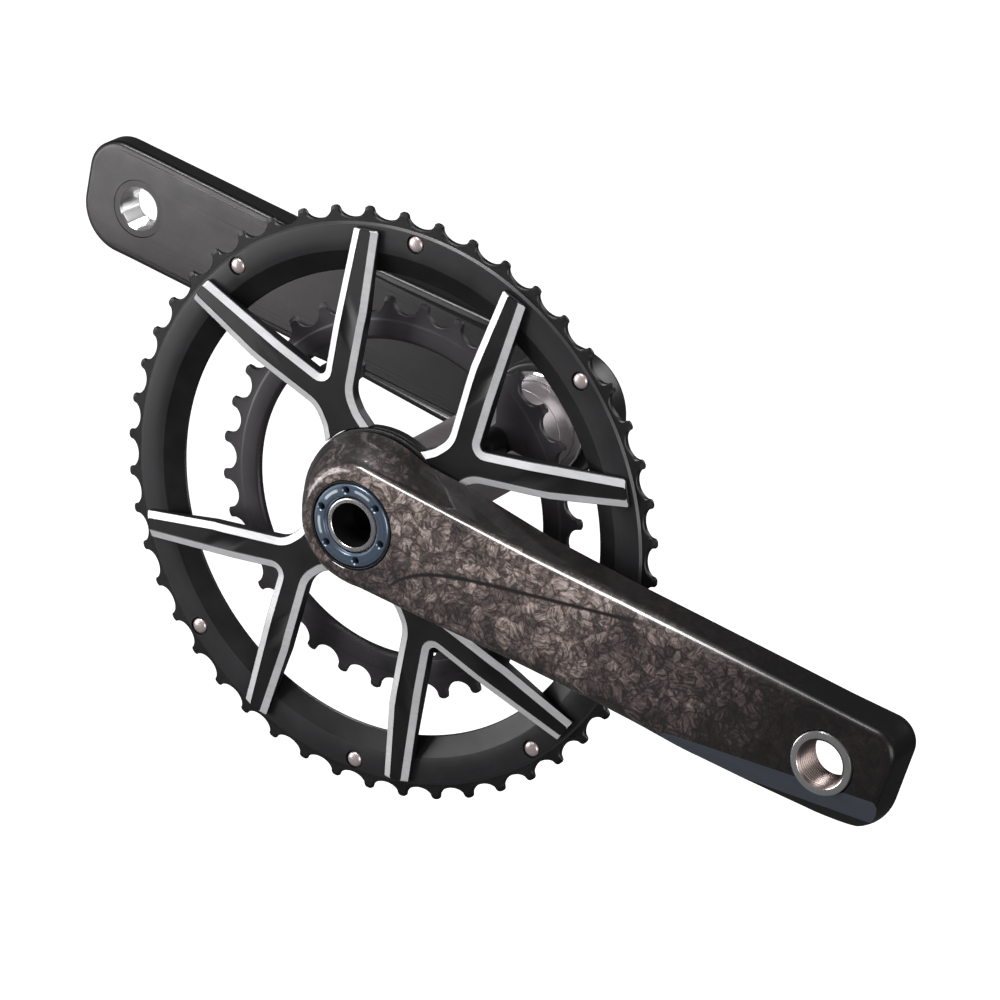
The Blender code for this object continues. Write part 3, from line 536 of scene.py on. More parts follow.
SILVER = metal(
    "polished_alloy", (0.86, 0.85, 0.86), (0.70, 0.69, 0.70), 0.17, 0.92, True, 0.10
)
THREAD = metal(
    "brown_thread", (0.20, 0.155, 0.145), (0.12, 0.092, 0.086), 0.30, 0.85, True, 0.10
)
STEEL = metal("plated_steel", (0.62, 0.60, 0.61), (0.46, 0.44, 0.45), 0.26, 0.9, True, 0.10)
PIN = metal("pink_grey_pin", (0.62, 0.53, 0.53), (0.46, 0.38, 0.38), 0.30, 0.6, True, 0.05)
BLUE = marked_ring()
# Black steel of the ring bolts, lockring and spacer; also the painted shade inside the crank
# bolt's bore.
BLACK_STEEL_AND_BORE_SHADE = metal(
    "black_steel", (0.020, 0.020, 0.022), (0.012, 0.012, 0.013), 0.34, 0.7, True, 0.10
)
RUBBER = metal(
    "seal_rubber", (0.014, 0.014, 0.014), (0.009, 0.009, 0.009), 0.75, 0.0, True, 0.2
)


# Arms


def mirrored_down(corners):
    """The upper corners' mirror images below, in the outline's running order."""
    return [(x, -z, radius) for x, z, radius in reversed(corners)]


def nondrive_corners(share):
    """The plain arm's outline, the same at every depth."""
    tip = ARM_LENGTH + ARM_END - 0.02 * MM
    h = ARM_HALF_HEIGHT
    hub = [
        (-HUB_RADIUS, HUB_RADIUS, HUB_RADIUS - 0.2 * MM),
        (0.2 * ARM_LENGTH, HUB_RADIUS - 0.2 * MM, 0),
        (0.55 * ARM_LENGTH, h - 0.2 * MM, 0),
    ]
    ends = [(tip, h + 0.4 * MM, 12 * MM), (tip - 2 * MM, -h + 0.2 * MM, 16 * MM)]
    corners = hub + ends + mirrored_down(hub)
    return [(-x, z, radius) for x, z, radius in reversed(corners)]


def drive_corners(share):
    """The drive arm's outline, from its outer face (0) to its flared back (1)."""
    face_hub = [
        (-HUB_FACE_RADIUS, HUB_FACE_RADIUS + 0.3 * MM, HUB_FACE_RADIUS - 0.1 * MM),
        (13.5 * MM, 19.2 * MM, 6 * MM),
        (30 * MM, 18.9 * MM, 0),
        (62 * MM, 18.6 * MM, 0),
        (95 * MM, 18.9 * MM, 0),
    ]
    face_ends = [
        (150 * MM, 18.6 * MM, 0),
        (195.2 * MM, 18.2 * MM, 8 * MM),
        (191.5 * MM, -20.0 * MM, 16 * MM),
        (150 * MM, -19.4 * MM, 0),
    ]
    back_hub = [
        (-HUB_BACK_RADIUS, 1.3 * HUB_BACK_RADIUS, HUB_BACK_RADIUS),
        (13.5 * MM, 23.5 * MM, 6 * MM),
        (30 * MM, 22.8 * MM, 0),
        (62 * MM, 20.3 * MM, 0),
        (95 * MM, 20.0 * MM, 0),
    ]
    back_ends = [
        (150 * MM, 20.6 * MM, 0),
        (196.7 * MM, 20.9 * MM, 8 * MM),
        (193.5 * MM, -22.3 * MM, 18 * MM),
        (150 * MM, -21.4 * MM, 0),
    ]
    face = face_hub + face_ends + mirrored_down(face_hub)
    back = back_hub + back_ends + mirrored_down(back_hub)
    bulged = share + 0.3 * share * (1 - share)
    made = []
    for front_corner, back_corner in zip(face, back):
        pairs = zip(front_corner, back_corner)
        made.append(tuple(a + (b - a) * bulged for a, b in pairs))
    return made


def offset(corners, depth_at):
    """The corners moved inwards by the depth at each one's x."""
    made = []
    count = len(corners)
    for i, (x, z, radius) in enumerate(corners):
        depth = depth_at(x)
        here = Vector((x, z))
        back = (here - Vector(corners[i - 1][:2])).normalized()
        ahead = (Vector(corners[(i + 1) % count][:2]) - here).normalized()
        inward = Vector((back.y, -back.x)) + Vector((ahead.y, -ahead.x))
        inward *= depth / (1 + back.dot(ahead))
        left = max(radius - depth, 0.02 * MM) if radius else 0
        made.append((x + inward.x, z + inward.y, left))
    return made


def reach(corners, i):
    """How far from corner i its rounding goes along its edges."""
    x, z, radius = corners[i]
    here = Vector((x, z))
    before = Vector(corners[i - 1][:2]) - here
    after = Vector(corners[(i + 1) % len(corners)][:2]) - here
    return radius / math.tan(before.angle(after) / 2) if radius else 0


def edge_pieces(corners, longest):
    made = []
    for i in range(len(corners)):
        j = (i + 1) % len(corners)
        length = math.dist(corners[i][:2], corners[j][:2])
        free = length - reach(corners, i) - reach(corners, j)
        made.append(max(int(free / longest), 1))
    return made


def refined_corners(corners, pieces):
    """Extra corners along the straight edges, the same number in each outline."""
    made = []
    for i, (x, z, radius) in enumerate(corners):
        j = (i + 1) % len(corners)
        x2, z2, _ = corners[j]
        made.append((x, z, radius))
        length = math.hypot(x2 - x, z2 - z)
        near, far = reach(corners, i), length - reach(corners, j)
        for k in range(1, pieces[i]):
            share = (near + (far - near) * k / pieces[i]) / length
            made.append((x + (x2 - x) * share, z + (z2 - z) * share, 0))
    return made


def arm_face_y(x):
    """Distance of an outer face from the middle, x being measured along the arm."""
    return HUB_FACE_Y + ARM_FACE_RISE * x / ARM_LENGTH


def even_softness(x):
    """The plain arm's outer edge is equally broad all along."""
    return 1.4


def drive_softness(x):
    """How broad the outer edge's rounding is: broadest at mid-arm."""
    return between(x, 30 * MM, 1.0, 90 * MM, 2.8) * between(x, 110 * MM, 1.0, 165 * MM, 0.25)


def arm_shell(side, corners_at, back_at_hub, softness, back_edge):
    """The arm lofted through outlines: a rounded outer edge, flanks and inner edge."""

    def back(x):
        return between(side * x, 0.2 * ARM_LENGTH, back_at_hub, ARM_LENGTH, PEDAL_BACK_Y)

    edge, drop = 2.0 * MM, 1.7 * MM
    steps = 10
    layers = [(edge + 0.5 * MM, 0, 0, 0, 0)]
    for k in range(steps + 1):
        turn = 0.5 * math.pi * k / steps
        sunk = drop * (1 - math.cos(turn))
        layers.append((edge * (1 - math.sin(turn)), 0, 0.08 * k / steps, sunk, 0))
    for share in (0.16, 0.26, 0.36, 0.46, 0.56, 0.66, 0.76, 0.86):
        layers.append((0, 0, share, drop, 0))
    for degrees in (0, 15, 30, 45, 60, 75, 90):
        turn = math.radians(degrees)
        inset = back_edge * (1 - math.cos(turn))
        layers.append((0, inset, 1, drop, back_edge * (1 - math.sin(turn))))
    layers.append((0, back_edge + 0.5 * MM, 1, drop, 0))

    bm = bmesh.new()
    loops = []
    pieces = edge_pieces(corners_at(0.5), 4 * MM)
    for soft_inset, inset, share, sunk, lift in layers:
        corners = refined_corners(corners_at(share), pieces)
        corners = offset(corners, lambda x: soft_inset * softness(side * x) + inset)
        loop = []
        for x, z in rounded(corners, 16):
            height = arm_face_y(side * x) - sunk * softness(side * x)
            height = height * (1 - share) + back(x) * share + lift
            loop.append(bm.verts.new((x, -side * height, z)))
        loops.append(loop)
    for low, high in zip(loops, loops[1:]):
        for i in range(len(low)):
            j = (i + 1) % len(low)
            bm.faces.new((low[i], low[j], high[j], high[i]))
    for loop in (loops[0], loops[-1]):
        flat = [Vector((v.co.x, v.co.z, 0)) for v in loop]
        for a, b, c in tessellate_polygon([flat]):
            bm.faces.new((loop[a], loop[b], loop[c]))
    return bm


def pedal_hole(side):
    """The bush's bore with a small bevel at the arm's outer face."""
    wall = PEDAL_INSERT_RADIUS + (0.3 if side > 0 else 0.03) * MM
    face = arm_face_y(ARM_LENGTH)
    flare = 12.0 * MM
    profile = [
        (0, -side * (face + flare)),
        (wall + flare + 0.4 * MM, -side * (face + flare)),
        (wall, -side * (face - 0.4 * MM)),
        (wall, -side * INSIDE_Y),
        (0, -side * INSIDE_Y),
    ]
    return moved(turned(profile, 96), side * ARM_LENGTH)


def facet_lines(x):
    """The chamfer's upper and lower edges at this x, as (y, z) pairs."""
    top_y = -arm_face_y(x)
    top_z = FACET_START_Z + (x - FACET_START_X) * FACET_CLIMB
    edge_z = top_z - (FACET_EDGE_Y - top_y) / FACET_SLOPE
    return (top_y, top_z), (FACET_EDGE_Y, edge_z)


def facet_tool():
    """The long chamfer low on the outer face, from mid-arm to the tip."""
    bm = bmesh.new()
    outside_y, below, inside_y = -OUTSIDE_Y, -40 * MM, -56 * MM
    rings = []
    for x in (80 * MM, 205 * MM):
        top, edge = facet_lines(x)
        low = (inside_y, edge[1] - (inside_y - edge[0]) / UNDERSIDE_SLOPE)
        section = [top, edge, low, (inside_y, below), (outside_y, below), (outside_y, top[1])]
        rings.append([bm.verts.new((x, y, z)) for y, z in section])
    near, far = rings
    bm.faces.new(near)
    bm.faces.new(reversed(far))
    for i in range(len(near)):
        j = (i + 1) % len(near)
        bm.faces.new((near[i], far[i], far[j], near[j]))
    return bm


def facet_gap(p):
    """How far a point lies off the chamfer's plane, along Y."""
    (top_y, top_z), _ = facet_lines(p.x)
    return p.y - (top_y + (top_z - p.z) * FACET_SLOPE)


def paint_facet(obj):
    """Gives the chamfer's own flat faces the second material, its painted blue-grey reflection.
    """
    for face in obj.data.polygons:
        corners = [obj.data.vertices[i].co for i in face.vertices]
        if all(abs(facet_gap(c)) < 0.02 * MM for c in corners) and face.normal.z < -0.3:
            face.material_index = 1


def build_arms():
    lip = INSERT_LIP_RADIUS + 0.25 * MM
    step_y = -66 * MM - GAP
    socket = turned(
        [
            (0, -OUTSIDE_Y),
            (lip + 10.8 * MM, -OUTSIDE_Y),
            (lip, -HUB_FACE_Y + 0.2 * MM),
            (lip, step_y),
            (INSERT_RADIUS + GAP, step_y),
            (INSERT_RADIUS + GAP, -INSIDE_Y),
            (0, -INSIDE_Y),
        ]
    )
    arm = piece(
        "drive_arm_body",
        arm_shell(1, drive_corners, DRIVE_HUB_BACK_Y, drive_softness, 0.7 * MM),
        [CARBON, FACET],
        "crank",
        ["drive_arm"],
        24,
        [socket, pedal_hole(1), facet_tool()],
    )
    paint_facet(arm)
    boss_radius = HUB_RADIUS - 0.9 * MM
    boss = turned(
        soft(
            [
                (0, NONDRIVE_BOSS_Y),
                (boss_radius, NONDRIVE_BOSS_Y),
                (boss_radius, 62 * MM),
                (0, 62 * MM),
            ],
            1.4 * MM,
            5,
        )
    )
    piece(
        "nondrive_arm_body",
        arm_shell(-1, nondrive_corners, NONDRIVE_BACK_Y, even_softness, 1.9 * MM),
        [SATIN],
        "crank",
        ["nondrive_arm"],
        28,
        [cylinder(INSERT_RADIUS + 0.2 * MM, 40 * MM, 62 * MM, 96), pedal_hole(-1)],
        [boss],
    )


# Chainrings


# Points over a tooth's blunt tip: across the tooth, and down from its top, in mm
TIP_SHAPE = ((-1.15, 0.32), (-0.85, 0.10), (-0.4, 0.01), (0.4, 0.01), (0.85, 0.10), (1.15, 0.32))


def tooth_columns(teeth, phase, tip, seat_steps=14):
    """(radius, angle) round the ring: rounded tips and roller seats."""
    bottom = CHAIN_PITCH / (2 * math.sin(math.pi / teeth)) - ROLLER_SEAT
    brow = tip - 0.6 * MM
    points = []
    for i in range(teeth):
        tooth = phase + TURN * i / teeth
        for across, down in TIP_SHAPE:
            points.append((tip - down * MM, tooth + across * MM / tip))
        seat = tooth + math.pi / teeth
        outward = Vector(polar(1, seat))
        along = Vector((-outward.y, outward.x))
        for k in range(seat_steps + 1):
            swing = math.radians(-90 + 180 * k / seat_steps)
            point = outward * (brow - (brow - bottom) * math.cos(swing))
            point += along * SEAT_HALF_WIDTH * math.sin(swing)
            radius = point.length
            points.append((radius, math.atan2(point.y, point.x)))
    return points


def toothed_ring(columns, section):
    """A ring whose section changes from column to column only near the teeth."""
    bm = bmesh.new()
    rings = []
    for radius, angle in columns:
        cos, sin = polar(1, angle)
        rings.append([bm.verts.new((r * cos, y, r * sin)) for r, y in section(radius)])
    for near, far in zip(rings, rings[1:] + rings[:1]):
        for i in range(len(near)):
            j = (i + 1) % len(near)
            bm.faces.new((near[i], near[j], far[j], far[i]))
    return bm


def tooth_section(radius, rim, seat, tip, front, back):
    """The tooth's own points: chamfered towards the tip on both sides."""
    share = min(max((radius - seat) / (tip - seat), 0), 1)
    width = (0.25 + 0.95 * share) * MM
    depth = (0.22 + 0.38 * share) * MM
    return [
        (rim, front),
        (radius - width, front),
        (radius, front + depth),
        (radius, back - depth),
        (radius - width, back),
        (rim, back),
    ]


def outer_ring():
    tip = OUTER_TIP
    columns = tooth_columns(OUTER_TEETH, OUTER_PHASE, tip)

    def section(radius):
        inner = [
            (76.3, -46.3), (76.3, -46.75), (76.55, -47.05), (82.75, -49.36), (83.1, -49.5),
            (87.0, -49.5), (91.3, -49.5), (91.5, -49.46), (92.1, -48.95),
        ]
        teeth = tooth_section(radius, 92.25 * MM, 93.15 * MM, tip, -48.8 * MM, -46.8 * MM)
        outer = [(91.6, -46.05), (91.2, -46.0), (80.0, -46.0), (76.6, -46.0)]
        return in_metres(inner) + teeth + in_metres(outer)

    cuts = []
    for angle in SHIFT_PIN_ANGLES:
        x, z = polar(SHIFT_PIN_CIRCLE, angle)
        sink = [
            (0, -53), (3.6, -53), (3.05, -49.45), (2.95, -48.75), (1.6, -48.75), (1.6, -40),
            (0, -40),
        ]
        cuts.append(moved(turned(in_metres(sink), 32), x, z))
    cuts.append(moved(cylinder(1.6 * MM, -55 * MM, -40 * MM, 24), 86.5 * MM))
    ring = piece(
        "outer_ring_body",
        toothed_ring(columns, section),
        [BLACK, BAND, RIM],
        "crank",
        ["outer_chainring"],
        26,
        [joined(cuts)],
    )
    for face in ring.data.polygons:
        c = face.center
        radius = math.hypot(c.x, c.z) / MM
        if face.normal.y < -0.98 and 83.0 < radius < 91.55:
            face.material_index = 1
        elif face.normal.y < -0.5 and 91.55 <= radius < 92.25:
            face.material_index = 2


def inner_ring():
    tip = INNER_TIP
    columns = tooth_columns(INNER_TEETH, INNER_PHASE, tip)

    def section(radius):
        inner = [
            (52.2, -39.0), (52.2, -40.3), (52.4, -40.6), (53.3, -41.15), (53.6, -41.2),
            (55.5, -41.2), (58.3, -41.2), (58.5, -41.17), (59.1, -40.92),
        ]
        teeth = tooth_section(radius, 59.25 * MM, 60.85 * MM, tip, -40.9 * MM, -38.9 * MM)
        outer = [(58.6, -38.62), (58.3, -38.6), (54.4, -38.6), (52.4, -38.6)]
        return in_metres(inner) + teeth + in_metres(outer)

    tabs = []
    for angle in SPIDER_ANGLES:
        outline = rounded(
            [
                (RING_BOLT_RADIUS - RING_BOSS_RADIUS, -RING_BOSS_RADIUS, 4.7 * MM),
                (RING_BOLT_RADIUS - RING_BOSS_RADIUS, RING_BOSS_RADIUS, 4.7 * MM),
                (47.4 * MM, RING_BOSS_RADIUS, 1.5 * MM),
                (53.4 * MM, 12.5 * MM, 0),
                (53.4 * MM, -12.5 * MM, 0),
                (47.4 * MM, -RING_BOSS_RADIUS, 1.5 * MM),
            ],
            8,
        )
        hole = circle(2.9 * MM, 32, RING_BOLT_RADIUS)
        tabs.append(spun(plate(outline, [hole], -41.12 * MM, -38.68 * MM), angle))
    ring = piece(
        "inner_ring_body",
        toothed_ring(columns, section),
        [RING_GREY, RIM],
        "crank",
        ["inner_chainring"],
        26,
        [],
        [joined(tabs)],
    )
    for face in ring.data.polygons:
        radius = math.hypot(face.center.x, face.center.z) / MM
        if face.normal.y < -0.5 and 58.55 <= radius < 59.15:
            face.material_index = 1


# Spider


def leg_front(radius):
    return between(radius, 60 * MM, -54.0 * MM, 90.5 * MM, -51.7 * MM)


def offset_edges(outline, depths):
    """The corners with each edge moved inwards by its own depth."""
    lines = []
    count = len(outline)
    for i in range(count):
        a, b = Vector(outline[i][:2]), Vector(outline[(i + 1) % count][:2])
        along = (b - a).normalized()
        inward = Vector((along.y, -along.x))
        lines.append((a + inward * depths[i], along))
    made = []
    for i in range(count):
        p, u = lines[i - 1]
        q, v = lines[i]
        radius = outline[i][2]
        if radius > MM:
            radius += max(depths[i], depths[i - 1])
        cross = u.x * v.y - u.y * v.x
        if abs(cross) < 1e-3:
            made.append((q.x, q.y, radius))
            continue
        t = ((q.x - p.x) * v.y - (q.y - p.y) * v.x) / cross
        made.append((p.x + u.x * t, p.y + u.y * t, radius))
    return made


def y_outline():
    """One Y of the spider with its trunk along +X: corners, and each edge's kind."""
    upper = [
        (31.0 * MM, 7.6 * MM, 8 * MM),
        (37.5 * MM, 7.6 * MM, 9 * MM),
        (59.1 * MM, 23.9 * MM, 0),
        (81.8 * MM, 38.3 * MM, 0.6 * MM),
        (85.9 * MM, 30.2 * MM, 0.6 * MM),
    ]
    upper_kinds = ["side", "side", "side", "end", "side"]
    half_angle = math.radians(19.2)
    steps = 8
    points = []
    for k in range(steps + 1):
        x, z = polar(27.3 * MM, -half_angle + 2 * half_angle * k / steps)
        points.append((x, z, 0))
    kinds = ["base"] * steps + ["side"]
    points += upper
    kinds += upper_kinds
    points.append((45.1 * MM, 0, 2 * MM))
    kinds.append("side")
    points += mirrored_down(upper)
    kinds += ["end", "side", "side", "side", "side"]
    return points, kinds


def dense_edges(corners, kinds, longest):
    """Extra corners on the long straight edges. Each keeps its edge's kind."""
    made, made_kinds = [], []
    pieces = edge_pieces(corners, longest)
    for i, (x, z, radius) in enumerate(corners):
        j = (i + 1) % len(corners)
        x2, z2, _ = corners[j]
        made.append((x, z, radius))
        made_kinds.append(kinds[i])
        length = math.hypot(x2 - x, z2 - z)
        near, far = reach(corners, i), length - reach(corners, j)
        spare = 2 * MM if radius > MM or corners[j][2] > MM else 0
        for k in range(1, pieces[i]):
            at = near + spare + (far - near - 2 * spare) * k / pieces[i]
            share = at / length
            made.append((x + (x2 - x) * share, z + (z2 - z) * share, 0))
            made_kinds.append(kinds[i])
    return made, made_kinds


def spider_y(name, angle, node):
    """A forked arm of the spider with a bright machined line round its front."""
    corners, kinds = y_outline()
    corners, kinds = dense_edges(corners, kinds, 3 * MM)
    line = 2.5 * MM
    lip = 0.18 * MM
    steps = 6

    def loop_at(side, end, height):
        depth_of = {"base": 0.0, "side": side, "end": end}
        moved_corners = offset_edges(corners, [depth_of[kind] for kind in kinds])
        loop = []
        for x, z in rounded(moved_corners, steps):
            loop.append(bm.verts.new((x, height(math.hypot(x, z)), z)))
        return loop

    bm = bmesh.new()
    loops = [
        loop_at(lip, lip, lambda r: LEG_BACK_Y),
        loop_at(0, 0, lambda r: LEG_BACK_Y - 0.2 * MM),
        loop_at(0, 0, lambda r: leg_front(r) + 0.85 * MM),
        loop_at(lip, lip, lambda r: leg_front(r) + 0.65 * MM),
        loop_at(line, lip, leg_front),
        loop_at(line + 0.25 * MM, lip, lambda r: leg_front(r) + 0.10 * MM),
    ]
    sided = []
    for (_, _, radius), kind in zip(corners, kinds):
        sided += [kind if radius <= 0 else "side"] * (steps if radius > 0 else 0)
        sided.append(kind)
    count = len(loops[0])
    for level, (low, high) in enumerate(zip(loops, loops[1:])):
        for i in range(count):
            j = (i + 1) % count
            if (low[i].co - high[i].co).length < 1e-7 and (low[j].co - high[j].co).length < 1e-7:
                continue
            face = bm.faces.new((low[i], low[j], high[j], high[i]))
            face.material_index = 1 if level == 3 and sided[i] == "side" else 0
    for loop in (loops[0], loops[-1]):
        flat = [Vector((v.co.x, v.co.z, 0)) for v in loop]
        for a, b, c in tessellate_polygon([flat]):
            bm.faces.new((loop[a], loop[b], loop[c]))
    boss = cylinder(RING_BOSS_RADIUS, -50.8 * MM, -41.5 * MM, 48)
    hole = cylinder(2.9 * MM, -50 * MM, -30 * MM, 32)
    return piece(
        name,
        spun(bm, angle),
        [BLACK, EDGE],
        "crank",
        [node],
        20,
        [spun(moved(hole, RING_BOLT_RADIUS), angle)],
        [spun(moved(boss, RING_BOLT_RADIUS), angle)],
    )


def serrated(radius, depth, count):
    """A round outline with evenly spaced notches of the given depth."""
    points = []
    for i in range(count):
        for share, high in ((0.0, 0), (0.3, 0), (0.5, 1), (0.8, 1)):
            points.append(polar(radius - depth * high, TURN * (i + share) / count))
    return points


def build_spider():
    for i, angle in enumerate(SPIDER_ANGLES):
        spider_y("spider_leg_pair_%d" % (i + 1), angle, "spider_arm_%d" % (i + 1))
    profile = [
        (17.9, -54.0), (26.5, -54.0), (26.5, -53.5), (26.75, -53.4), (26.75, -51.9),
        (27.0, -51.8), (27.0, -49.0), (17.9, -49.0),
    ]
    hub = turned(soft(in_metres(profile), 0.08 * MM), 144)
    hub_mats = [BLACK, RIM]
    made = piece(
        "spider_centre", hub, hub_mats, "crank", ["spider_hub"]
    )
    for face in made.data.polygons:
        radius = math.hypot(face.center.x, face.center.z) / MM
        if radius > 26.6 and -53.6 < face.center.y / MM < -53.3:
            face.material_index = 1


# Small turned pieces


def build_pedal_inserts():
    for side, name, node in (
        (1, "drive_pedal_bush", "drive_pedal_insert"),
        (-1, "nondrive_pedal_bush", "nondrive_pedal_insert"),
    ):
        outer, inner = 72.8, 61.3
        profile = [
            (7.95, outer - 0.1), (8.15, outer), (9.8, outer), (10.05, outer - 0.1),
            (10.2, outer - 0.4), (10.2, inner + 0.3), (10.0, inner), (7.75, inner),
        ]
        bore = [(7.15, inner + 0.6)]
        turns = 9
        pitch = (outer - inner - 1.8) / turns
        for k in range(turns):
            y = inner + 0.8 + pitch * k
            bore += [(7.15, y + 0.1), (7.62, y + pitch * 0.5), (7.15, y + pitch - 0.1)]
        bore.append((7.15, outer - 0.8))
        points = [(r, -side * y) for r, y in profile + bore]
        bm = moved(turned(in_metres(points), 96), side * ARM_LENGTH)
        bore_mat = THREAD if side > 0 else SILVER
        mats = [SILVER, bore_mat, SATIN]
        bush = piece(name, bm, mats, "crank", [node], 25)
        for face in bush.data.polygons:
            c = face.center
            out = math.hypot(c.x - side * ARM_LENGTH, c.z)
            if out < 7.9 * MM and abs(c.y) < 72.6 * MM:
                face.material_index = 1
            elif side < 0 and abs(c.y) < 61.7 * MM and out > 8 * MM:
                face.material_index = 2


def build_hub():
    front = -69.2
    profile = [(13.85, front), (14.4, front), (14.4, -66.0), (17.5, -66.0), (17.5, -54.3),
               (16.1, -54.3), (16.1, -45.8), (8.0, -45.8), (8.0, -61.5), (13.85, -61.5)]
    piece(
        "drive_hub_sleeve", turned(soft(in_metres(profile), 0.12 * MM)), [BLACK], "crank",
        ["drive_hub_insert"],
    )
    ring = [
        (9.2, front + 4.4), (9.2, front + 0.75), (9.5, front + 0.3), (9.8, front + 0.25),
        (10.0, front), (10.3, front), (12.9, front), (13.2, front + 0.06),
        (13.6, front + 0.45), (13.6, front + 4.4),
    ]
    holes = []
    for i in range(PIN_HOLES):
        x, z = polar(PIN_HOLE_CIRCLE, PIN_HOLE_ANGLE + TURN * i / PIN_HOLES)
        drill = [
            (0, front - 2), (3.45, front - 2), (1.15, front + 0.3), (1.15, front + 3),
            (0, front + 3),
        ]
        holes.append(moved(turned(in_metres(drill), 24), x, z))
    piece(
        "extractor_ring_body", turned(in_metres(ring)), [BLUE], "extractor",
        ["extractor_ring"], 25, [joined(holes)],
    )
    head = -68.9
    bolt = [
        (0, -59.5), (7.0, -59.5), (7.0, head + 1.9), (7.25, head + 0.15), (7.4, head),
        (8.35, head), (8.65, head + 0.15), (8.8, head + 0.45), (8.8, -64.3), (10.8, -64.3),
        (10.8, -62.8), (7.7, -62.8), (7.7, -41.0), (6.7, -40.0), (0, -40.0),
    ]
    across_corners = 10.0 * MM / math.cos(math.pi / 6)
    hexagon_turn = 0.2
    hexagon = circle(across_corners / 2, 6, start=hexagon_turn)
    socket = plate(hexagon, [], -75 * MM, -56.9 * MM)
    made = piece(
        "crank_bolt_body", turned(in_metres(bolt)), [STEEL, BLACK_STEEL_AND_BORE_SHADE], "bolt", ["crank_bolt"],
        25, [socket],
    )
    # Painted shade: the bore and hex socket inside the bolt get the black material, standing in
    # for the shade deep in the hole.
    for face in made.data.polygons:
        c = face.center
        if math.hypot(c.x, c.z) < 7.2 * MM and c.y < -42 * MM:
            face.material_index = 1


def build_pins():
    head = -49.55
    profile = [(0, head - 0.42), (0.9, head - 0.38), (1.7, head - 0.2), (2.2, head + 0.05),
               (2.45, head + 0.4), (2.5, head + 0.7), (1.5, head + 0.7), (1.5, -45.7),
               (3.0, -45.7), (3.0, -44.9), (2.6, -44.4), (1.8, -44.2), (0, -44.2)]
    for i, angle in enumerate(SHIFT_PIN_ANGLES):
        x, z = polar(SHIFT_PIN_CIRCLE, angle)
        bm = moved(turned(in_metres(profile), 32), x, z)
        name, node = "shift_rivet_%d" % (i + 1), "shift_pin_%d" % (i + 1)
        piece(name, bm, [PIN], "crank", [node], 40)
    peg = [(0, -54.6), (2.4, -54.6), (2.4, -49.8), (1.5, -49.8), (1.5, -46.4), (0, -46.4)]
    bm = moved(turned(soft(in_metres(peg), 0.4 * MM), 48), 86.5 * MM)
    piece("chain_peg", bm, [STEEL], "crank", ["chain_pin"])


def build_spindle():
    inner_end = 61.4
    profile = [
        (8.0, -45.5), (14.5, -45.5), (15.0, -45.0), (15.0, -34.4), (14.85, -34.2), (14.85, -33.4),
        (15.0, -33.2), (15.0, 33.2), (14.85, 33.4), (14.85, 34.2), (15.0, 34.4), (15.0, 45.5),
        (14.0, 45.5), (14.0, inner_end), (12.5, inner_end), (12.5, -36.0), (8.0, -38.0),
    ]
    nose = plate(serrated(13.4 * MM, 0.9 * MM, 8), [circle(8.0 * MM, 64)], -59.2 * MM, -43.5 * MM)
    piece(
        "spindle_tube", turned(in_metres(profile), 144), [TUBE], "crank", ["spindle"],
        25, [], [nose],
    )


CARRIED = {
    "inner_ring_bolt_1": BLACK_STEEL_AND_BORE_SHADE,
    "inner_ring_bolt_2": BLACK_STEEL_AND_BORE_SHADE,
    "inner_ring_bolt_3": BLACK_STEEL_AND_BORE_SHADE,
    "inner_ring_bolt_4": BLACK_STEEL_AND_BORE_SHADE,
    "nondrive_hub_insert": SILVER,
    "chainring_lockring": BLACK_STEEL_AND_BORE_SHADE,
    "wave_washer": STEEL,
    "drive_spacer": BLACK_STEEL_AND_BORE_SHADE,
    "bolt_washer": STEEL,
    "drive_bearing_cover": SILVER,
    "nondrive_bearing_cover": SILVER,
    "drive_bearing_seal": RUBBER,
    "nondrive_bearing_seal": RUBBER,
}


def build_carried():
    """CAD nodes whose shape is right: only their material changes."""
    for name, mat in CARRIED.items():
        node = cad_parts[name]
        node.data.materials.clear()
        node.data.materials.append(mat)


# Camera, lights and floor


def build_camera():
    right = Vector(CAMERA_RIGHT)
    up = Vector(CAMERA_UP)
    back = right.cross(up)
    data = bpy.data.cameras.new("camera")
    data.sensor_width = 36
    data.lens = CAMERA_LENS
    data.clip_start = 0.05
    data.clip_end = 60
    camera = bpy.data.objects.new("camera", data)
    rows = [
        (right.x, up.x, back.x, CAMERA_PLACE[0]),
        (right.y, up.y, back.y, CAMERA_PLACE[1]),
        (right.z, up.z, back.z, CAMERA_PLACE[2]),
        (0, 0, 0, 1),
    ]
    camera.matrix_world = Matrix(rows)
    bpy.context.scene.collection.objects.link(camera)
    bpy.context.scene.camera = camera


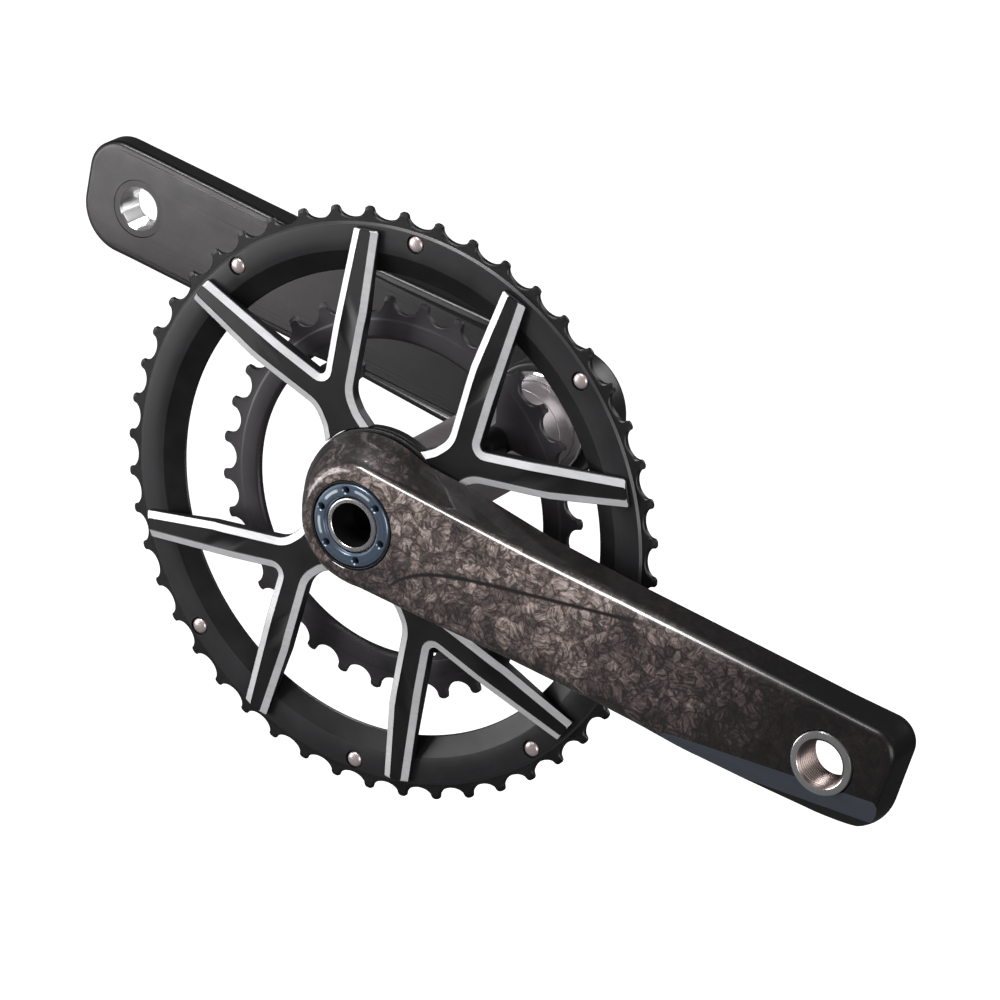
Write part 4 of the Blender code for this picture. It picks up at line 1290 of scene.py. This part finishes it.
def area_light(name, direction, distance, width, height, power, colour=(1, 1, 1)):
    data = bpy.data.lights.new(name, "AREA")
    data.shape = "RECTANGLE"
    data.size = width
    data.size_y = height
    data.energy = power
    data.color = colour
    light = bpy.data.objects.new(name, data)
    place = Vector(direction).normalized() * distance
    light.location = place
    light.rotation_euler = (-place).to_track_quat("-Z", "Y").to_euler()
    bpy.context.scene.collection.objects.link(light)
    return light


def build_lights():
    area_light("ridge_softbox", (-0.38, -0.43, 0.80), 1.7, 1.0, 0.36, 28)
    area_light("front_fill", (0.75, -0.60, 0.15), 2.2, 1.2, 1.2, 26)
    area_light("near_left", (-0.80, -0.62, -0.05), 0.80, 0.45, 0.6, 5.0)
    area_light("back_panel", (0.35, 0.85, 0.55), 2.2, 1.4, 0.8, 12)


def build_world():
    world = bpy.data.worlds.new("studio")
    bpy.context.scene.world = world
    world.use_nodes = True
    tree = world.node_tree
    background = tree.nodes["Background"]
    path = tree.nodes.new("ShaderNodeLightPath")
    strength = tree.nodes.new("ShaderNodeMapRange")
    strength.inputs[3].default_value = 0.10
    strength.inputs[4].default_value = 1.0
    background.inputs["Color"].default_value = (1, 1, 1, 1)
    tree.links.new(path.outputs["Is Camera Ray"], strength.inputs[0])
    tree.links.new(strength.outputs[0], background.inputs["Strength"])


def build_floor():
    bm = bmesh.new()
    bmesh.ops.create_grid(bm, x_segments=2, y_segments=2, size=25)
    mesh = bpy.data.meshes.new("floor")
    bm.to_mesh(mesh)
    bm.free()
    floor = bpy.data.objects.new("floor", mesh)
    floor.location.z = FLOOR_Z
    bpy.context.scene.collection.objects.link(floor)
    mat = bpy.data.materials.new("pale_floor")
    mat.use_nodes = True
    shader = mat.node_tree.nodes["Principled BSDF"]
    shader.inputs["Base Color"].default_value = (0.9, 0.9, 0.9, 1)
    shader.inputs["Roughness"].default_value = 0.9
    shader.inputs["Emission Color"].default_value = (1, 1, 1, 1)
    shader.inputs["Emission Strength"].default_value = 1.0
    mesh.materials.append(mat)
    floor.visible_glossy = False
    floor.visible_diffuse = False


build_arms()
outer_ring()
inner_ring()
build_spider()
build_pedal_inserts()
build_hub()
build_pins()
build_spindle()
build_carried()
build_camera()
build_lights()
build_world()
build_floor()
bpy.context.scene.view_settings.view_transform = "Standard"
